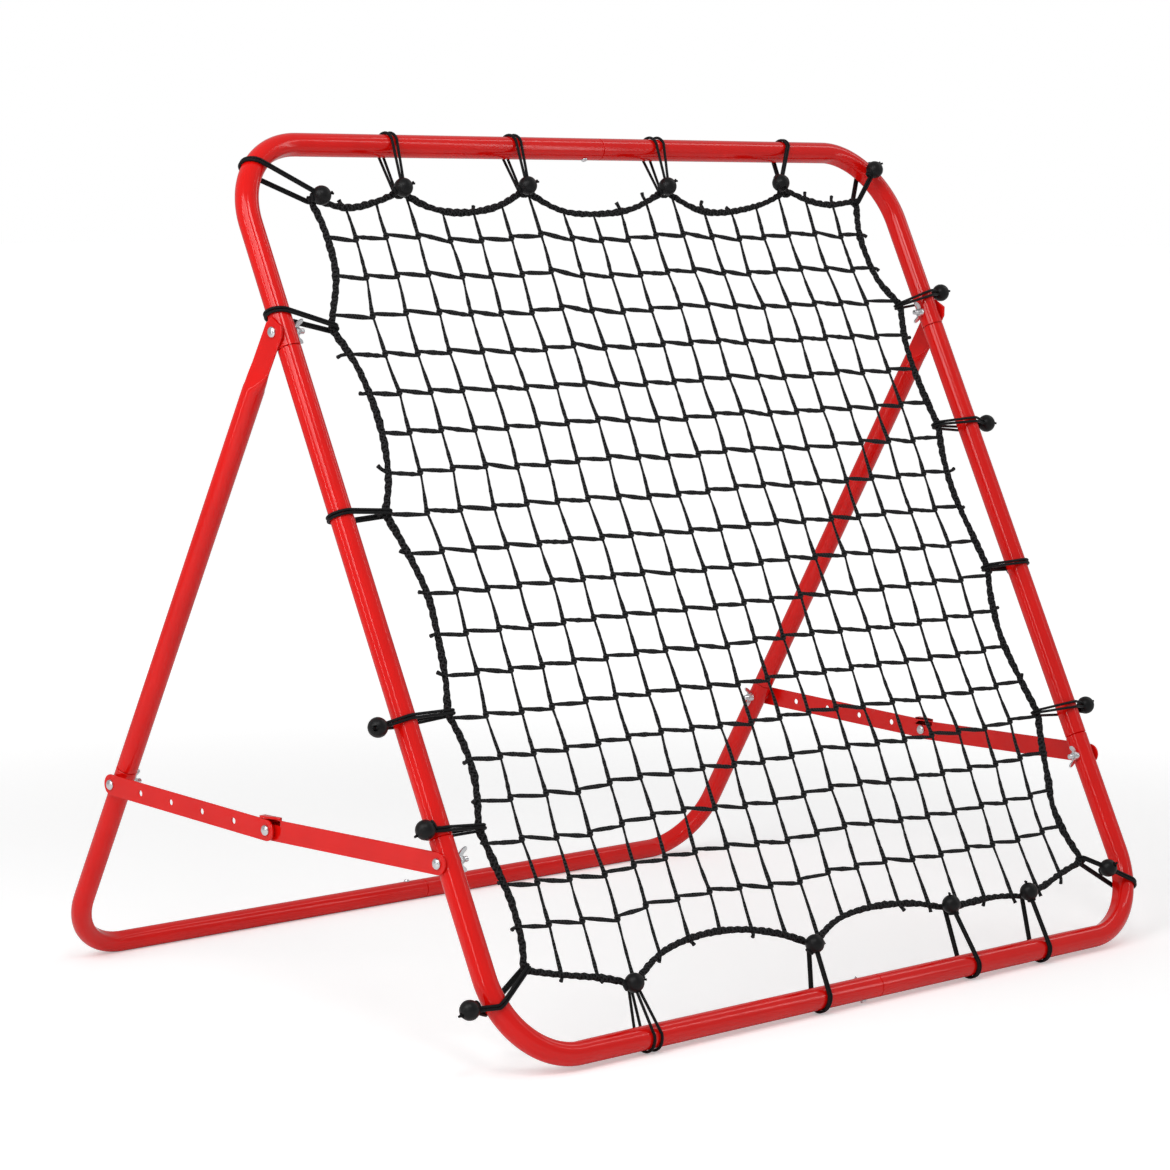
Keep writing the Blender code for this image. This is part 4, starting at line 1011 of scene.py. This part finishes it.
# ---- ties ----
TIE_SIDES = 10
WRAP_STEPS = 30
NECK_RADIUS = 0.0036         # of the loop's end where it hooks behind its ball
PUSHED_TIES = ("tie_left_4", "tie_right_4")
ROPE_SLACK = 0.0008          # between the border rope and a tie round it
RING_STEP = 0.008            # from ring to ring along a tie
BALL_HOLE = 0.0031           # radius
BALL_STEPS = 26
PARTING_LINE = 0.00012


def outline_round(points):
    """The convex outline of points in a plane, anticlockwise."""
    ordered = sorted(set(points))

    def chain(run):
        kept = []
        for point in run:
            while len(kept) > 1 and ((kept[-1][0] - kept[-2][0]) * (point[1] - kept[-2][1])
                                     <= (kept[-1][1] - kept[-2][1]) * (point[0] - kept[-2][0])):
                kept.pop()
            kept.append(point)
        return kept[:-1]

    return chain(ordered) + chain(ordered[::-1])


def frame_middle(u, v):
    """The way in towards the net, square to the tube at a tie."""
    bend_u = HALF - FRAME_BEND
    low, high = FRAME_BEND, FRAME_HEIGHT - FRAME_BEND
    if abs(u) > bend_u and not low < v < high:
        centre = Vector((math.copysign(bend_u, u), low if v < low else high))
        return (centre - Vector((u, v))).normalized()
    if low < v < high:
        return Vector((-math.copysign(1, u), 0))
    return Vector((0, 1 if v < low else -1))


def tie_route(tube_at, rope_at, ball, offset, spread):
    """One strand of a stretched loop: round the tube, the border rope and its ball."""
    inward = frame_middle(*tube_at)
    along = Vector((-inward.y, inward.x))
    tube_at = Vector(tube_at)
    to_rope = Vector(rope_at) - tube_at
    to_ball = Vector(ball[:2]) - tube_at
    reach = to_rope.dot(inward)
    drift = to_rope.dot(along) / reach
    tube_wrap = FRAME_RADIUS + GAP + TIE_RADIUS
    rope_wrap = ROPE_RADIUS + ROPE_SLACK + TIE_RADIUS
    ball_place = (to_ball.dot(inward), ball[2])
    places = [ball_place]
    for centre, radius in ((0.0, tube_wrap), (reach, rope_wrap)):
        places += circle(centre, 0.0, radius, WRAP_STEPS)
    route = []
    for inwards, behind in outline_round(places):
        at_ball = (inwards, behind) == ball_place
        share = smooth_step(inwards / reach)
        apart = offset * (TIE_RADIUS if at_ball else spread + (TIE_RADIUS - spread) * share)
        sideways = to_ball.dot(along) if at_ball else drift * inwards
        u, v = tube_at + inward * inwards + along * (sideways + apart)
        route.append(plane_point(u, v, behind))
    return route


def evenly(path, step):
    """A closed path with points a step apart, so that long straight runs have rings too."""
    made = []
    for start, end in zip(path, path[1:] + path[:1]):
        count = max(1, round((end - start).length / step))
        made += [start.lerp(end, k / count) for k in range(count)]
    return made


def ball_shape(middle, axis):
    """A moulded ball with a hole along its axis and a parting line."""
    shape = Shape()
    hole = BALL_HOLE
    first = math.asin(hole / BALL_RADIUS)
    profile = [(hole * 0.8, BALL_RADIUS * 0.55), (hole, BALL_RADIUS * 0.60), (hole, BALL_RADIUS * 0.90)]
    for k in range(BALL_STEPS + 1):
        angle = first + (math.pi - 2 * first) * k / BALL_STEPS
        radius = BALL_RADIUS + PARTING_LINE * math.exp(-((angle - math.pi / 2) / 0.035)**2)
        profile.append((radius * math.sin(angle), radius * math.cos(angle)))
    profile += [(hole, -BALL_RADIUS * 0.90), (hole * 0.8, -BALL_RADIUS * 0.6)]
    turn = axis.to_track_quat("Z", "Y").to_matrix()
    rings = [[middle + turn @ Vector((x, y, height)) for x, y in circle(0, 0, radius, 36)]
             for radius, height in profile[::-1]]
    shape.loft(rings)
    return shape


def knot_shape(middle, axis, shape):
    """The loop's cut ends in the ball's hole, and its other end hooked behind the ball."""
    turn = axis.to_track_quat("Z", "Y").to_matrix()
    for lean in (-1, 1):
        path = [Vector((lean * 0.0012, 0, BALL_RADIUS * 0.6)), Vector((lean * 0.0014, 0, BALL_RADIUS)),
                Vector((lean * 0.0028, lean * 0.001, BALL_RADIUS * 1.22))]
        shape.tube([middle + turn @ place for place in path], [0.0013, 0.0014, 0.0012], 8)
    neck = [Vector((x, y, -BALL_RADIUS * 0.98)) for x, y in circle(0, 0, NECK_RADIUS, 16)]
    ring = [middle + turn @ place for place in neck]
    shape.tube(ring, [TIE_RADIUS] * len(ring), TIE_SIDES, closed=True)


def tie(name, tube_at, rope_at, ball, spread, facing):
    """Two strands of elastic cord and a ball."""
    shape = Shape()
    for offset in (-1, 1):
        route = evenly(tie_route(tube_at, rope_at, ball, offset, spread), RING_STEP)
        shape.tube(route, [TIE_RADIUS] * len(route), TIE_SIDES, closed=True)
    middle = plane_point(*ball)
    across, up, behind = facing
    axis = (X_AXIS * across + UP * up + BEHIND * behind).normalized()
    knot_shape(middle, axis, shape)
    cord = settle(shape.make(f"{name}_cord", ELASTIC), name)
    knob = ball_shape(middle, axis).make(f"{name}_ball", PLASTIC)
    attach(knob, BODY_OF[name])
    return cord, knob, middle


def push_aside(cord, knob):
    """Gives their own meshes to the cord and the ball of a tie that a folding front bar presses aside."""
    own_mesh(cord)
    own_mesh(knob)


def ties():
    for name, (tube_at, rope_at, ball, spread, facing) in TIES.items():
        cord, knob, middle = tie(name, tube_at, rope_at, ball, spread, facing)
        if name in PUSHED_TIES:
            push_aside(cord, knob)


net_frame()
stand()
braces()
fasteners()
splice_screws()
settle(rope().make("border_rope_strands", ROPE_YARN), "border_rope")
settle(net().make("net_meshes", NET_CORD), "net")
ties()


# ---- studio ----
LAMP_AIM = Vector((0, 0, 0.45))


def white_floor():
    """A white floor that keeps the object's shadow, under a white surround."""
    bpy.ops.mesh.primitive_plane_add(size=80)
    floor = bpy.context.object
    floor.name = "floor"
    made = Surface("floor_white")
    rays = made.node("ShaderNodeLightPath").outputs
    seen = made.maths("MAXIMUM", rays["Is Camera Ray"], rays["Is Transmission Ray"])
    away = made.node("ShaderNodeVectorMath", {0: made.node("ShaderNodeTexCoord").outputs["Object"]},
                     operation="LENGTH").outputs["Value"]
    glow = made.node("ShaderNodeMapRange", {"Value": away, "From Min": 0.9, "From Max": 2.6,
                                            "To Min": 0.32, "To Max": 0.60},
                     interpolation_type="SMOOTHSTEP").outputs["Result"]
    made.set(Base_Color=(0.93, 0.93, 0.93, 1), Roughness=0.6, Specular_IOR_Level=0.1)
    made.set(Emission_Color=(1, 1, 1, 1), Emission_Strength=made.maths("MULTIPLY", seen, glow))
    floor.data.materials.append(made.material)


def surround():
    """White for the camera, and a plain soft light for surfaces and their reflections."""
    world = bpy.data.worlds.new("surround")
    bpy.context.scene.world = world
    world.use_nodes = True
    tree = world.node_tree
    back = tree.nodes["Background"]
    back.inputs["Color"].default_value = (1, 1, 1, 1)
    rays = tree.nodes.new("ShaderNodeLightPath")
    through = tree.nodes.new("ShaderNodeMath")
    through.operation = "MAXIMUM"
    tree.links.new(rays.outputs["Is Camera Ray"], through.inputs[0])
    tree.links.new(rays.outputs["Is Transmission Ray"], through.inputs[1])
    level = tree.nodes.new("ShaderNodeMapRange")
    level.inputs["To Min"].default_value = 0.45
    level.inputs["To Max"].default_value = 1.0
    tree.links.new(through.outputs[0], level.inputs["Value"])
    tree.links.new(level.outputs["Result"], back.inputs["Strength"])


def soft_box(name, azimuth, height, distance, width, tall, power):
    """A rectangular lamp that faces the object's middle. Azimuth 0 is in front of the net."""
    angle = math.radians(azimuth)
    data = bpy.data.lights.new(name, "AREA")
    data.shape = "RECTANGLE"
    data.size = width
    data.size_y = tall
    data.energy = power
    made = bpy.data.objects.new(name, data)
    bpy.context.scene.collection.objects.link(made)
    made.location = Vector((math.sin(angle) * distance, -math.cos(angle) * distance, height))
    made.rotation_euler = (made.location - LAMP_AIM).to_track_quat("Z", "Y").to_euler()


def lamps():
    soft_box("key", -80, 2.2, 2.4, 1.2, 1.6, 20)
    soft_box("front_box", -40, 2.7, 2.0, 0.6, 0.9, 13)
    soft_box("left_strip", -100, 1.4, 2.5, 0.16, 2.4, 7)
    soft_box("near_strip", -66, 1.6, 2.5, 0.14, 2.4, 8)
    soft_box("right_strip", 44, 1.6, 2.5, 0.13, 2.4, 4)
    soft_box("rail_strip", 80, 2.3, 2.0, 0.30, 1.8, 4)


white_floor()
surround()
lamps()
bpy.context.scene.view_settings.view_transform = "Standard"
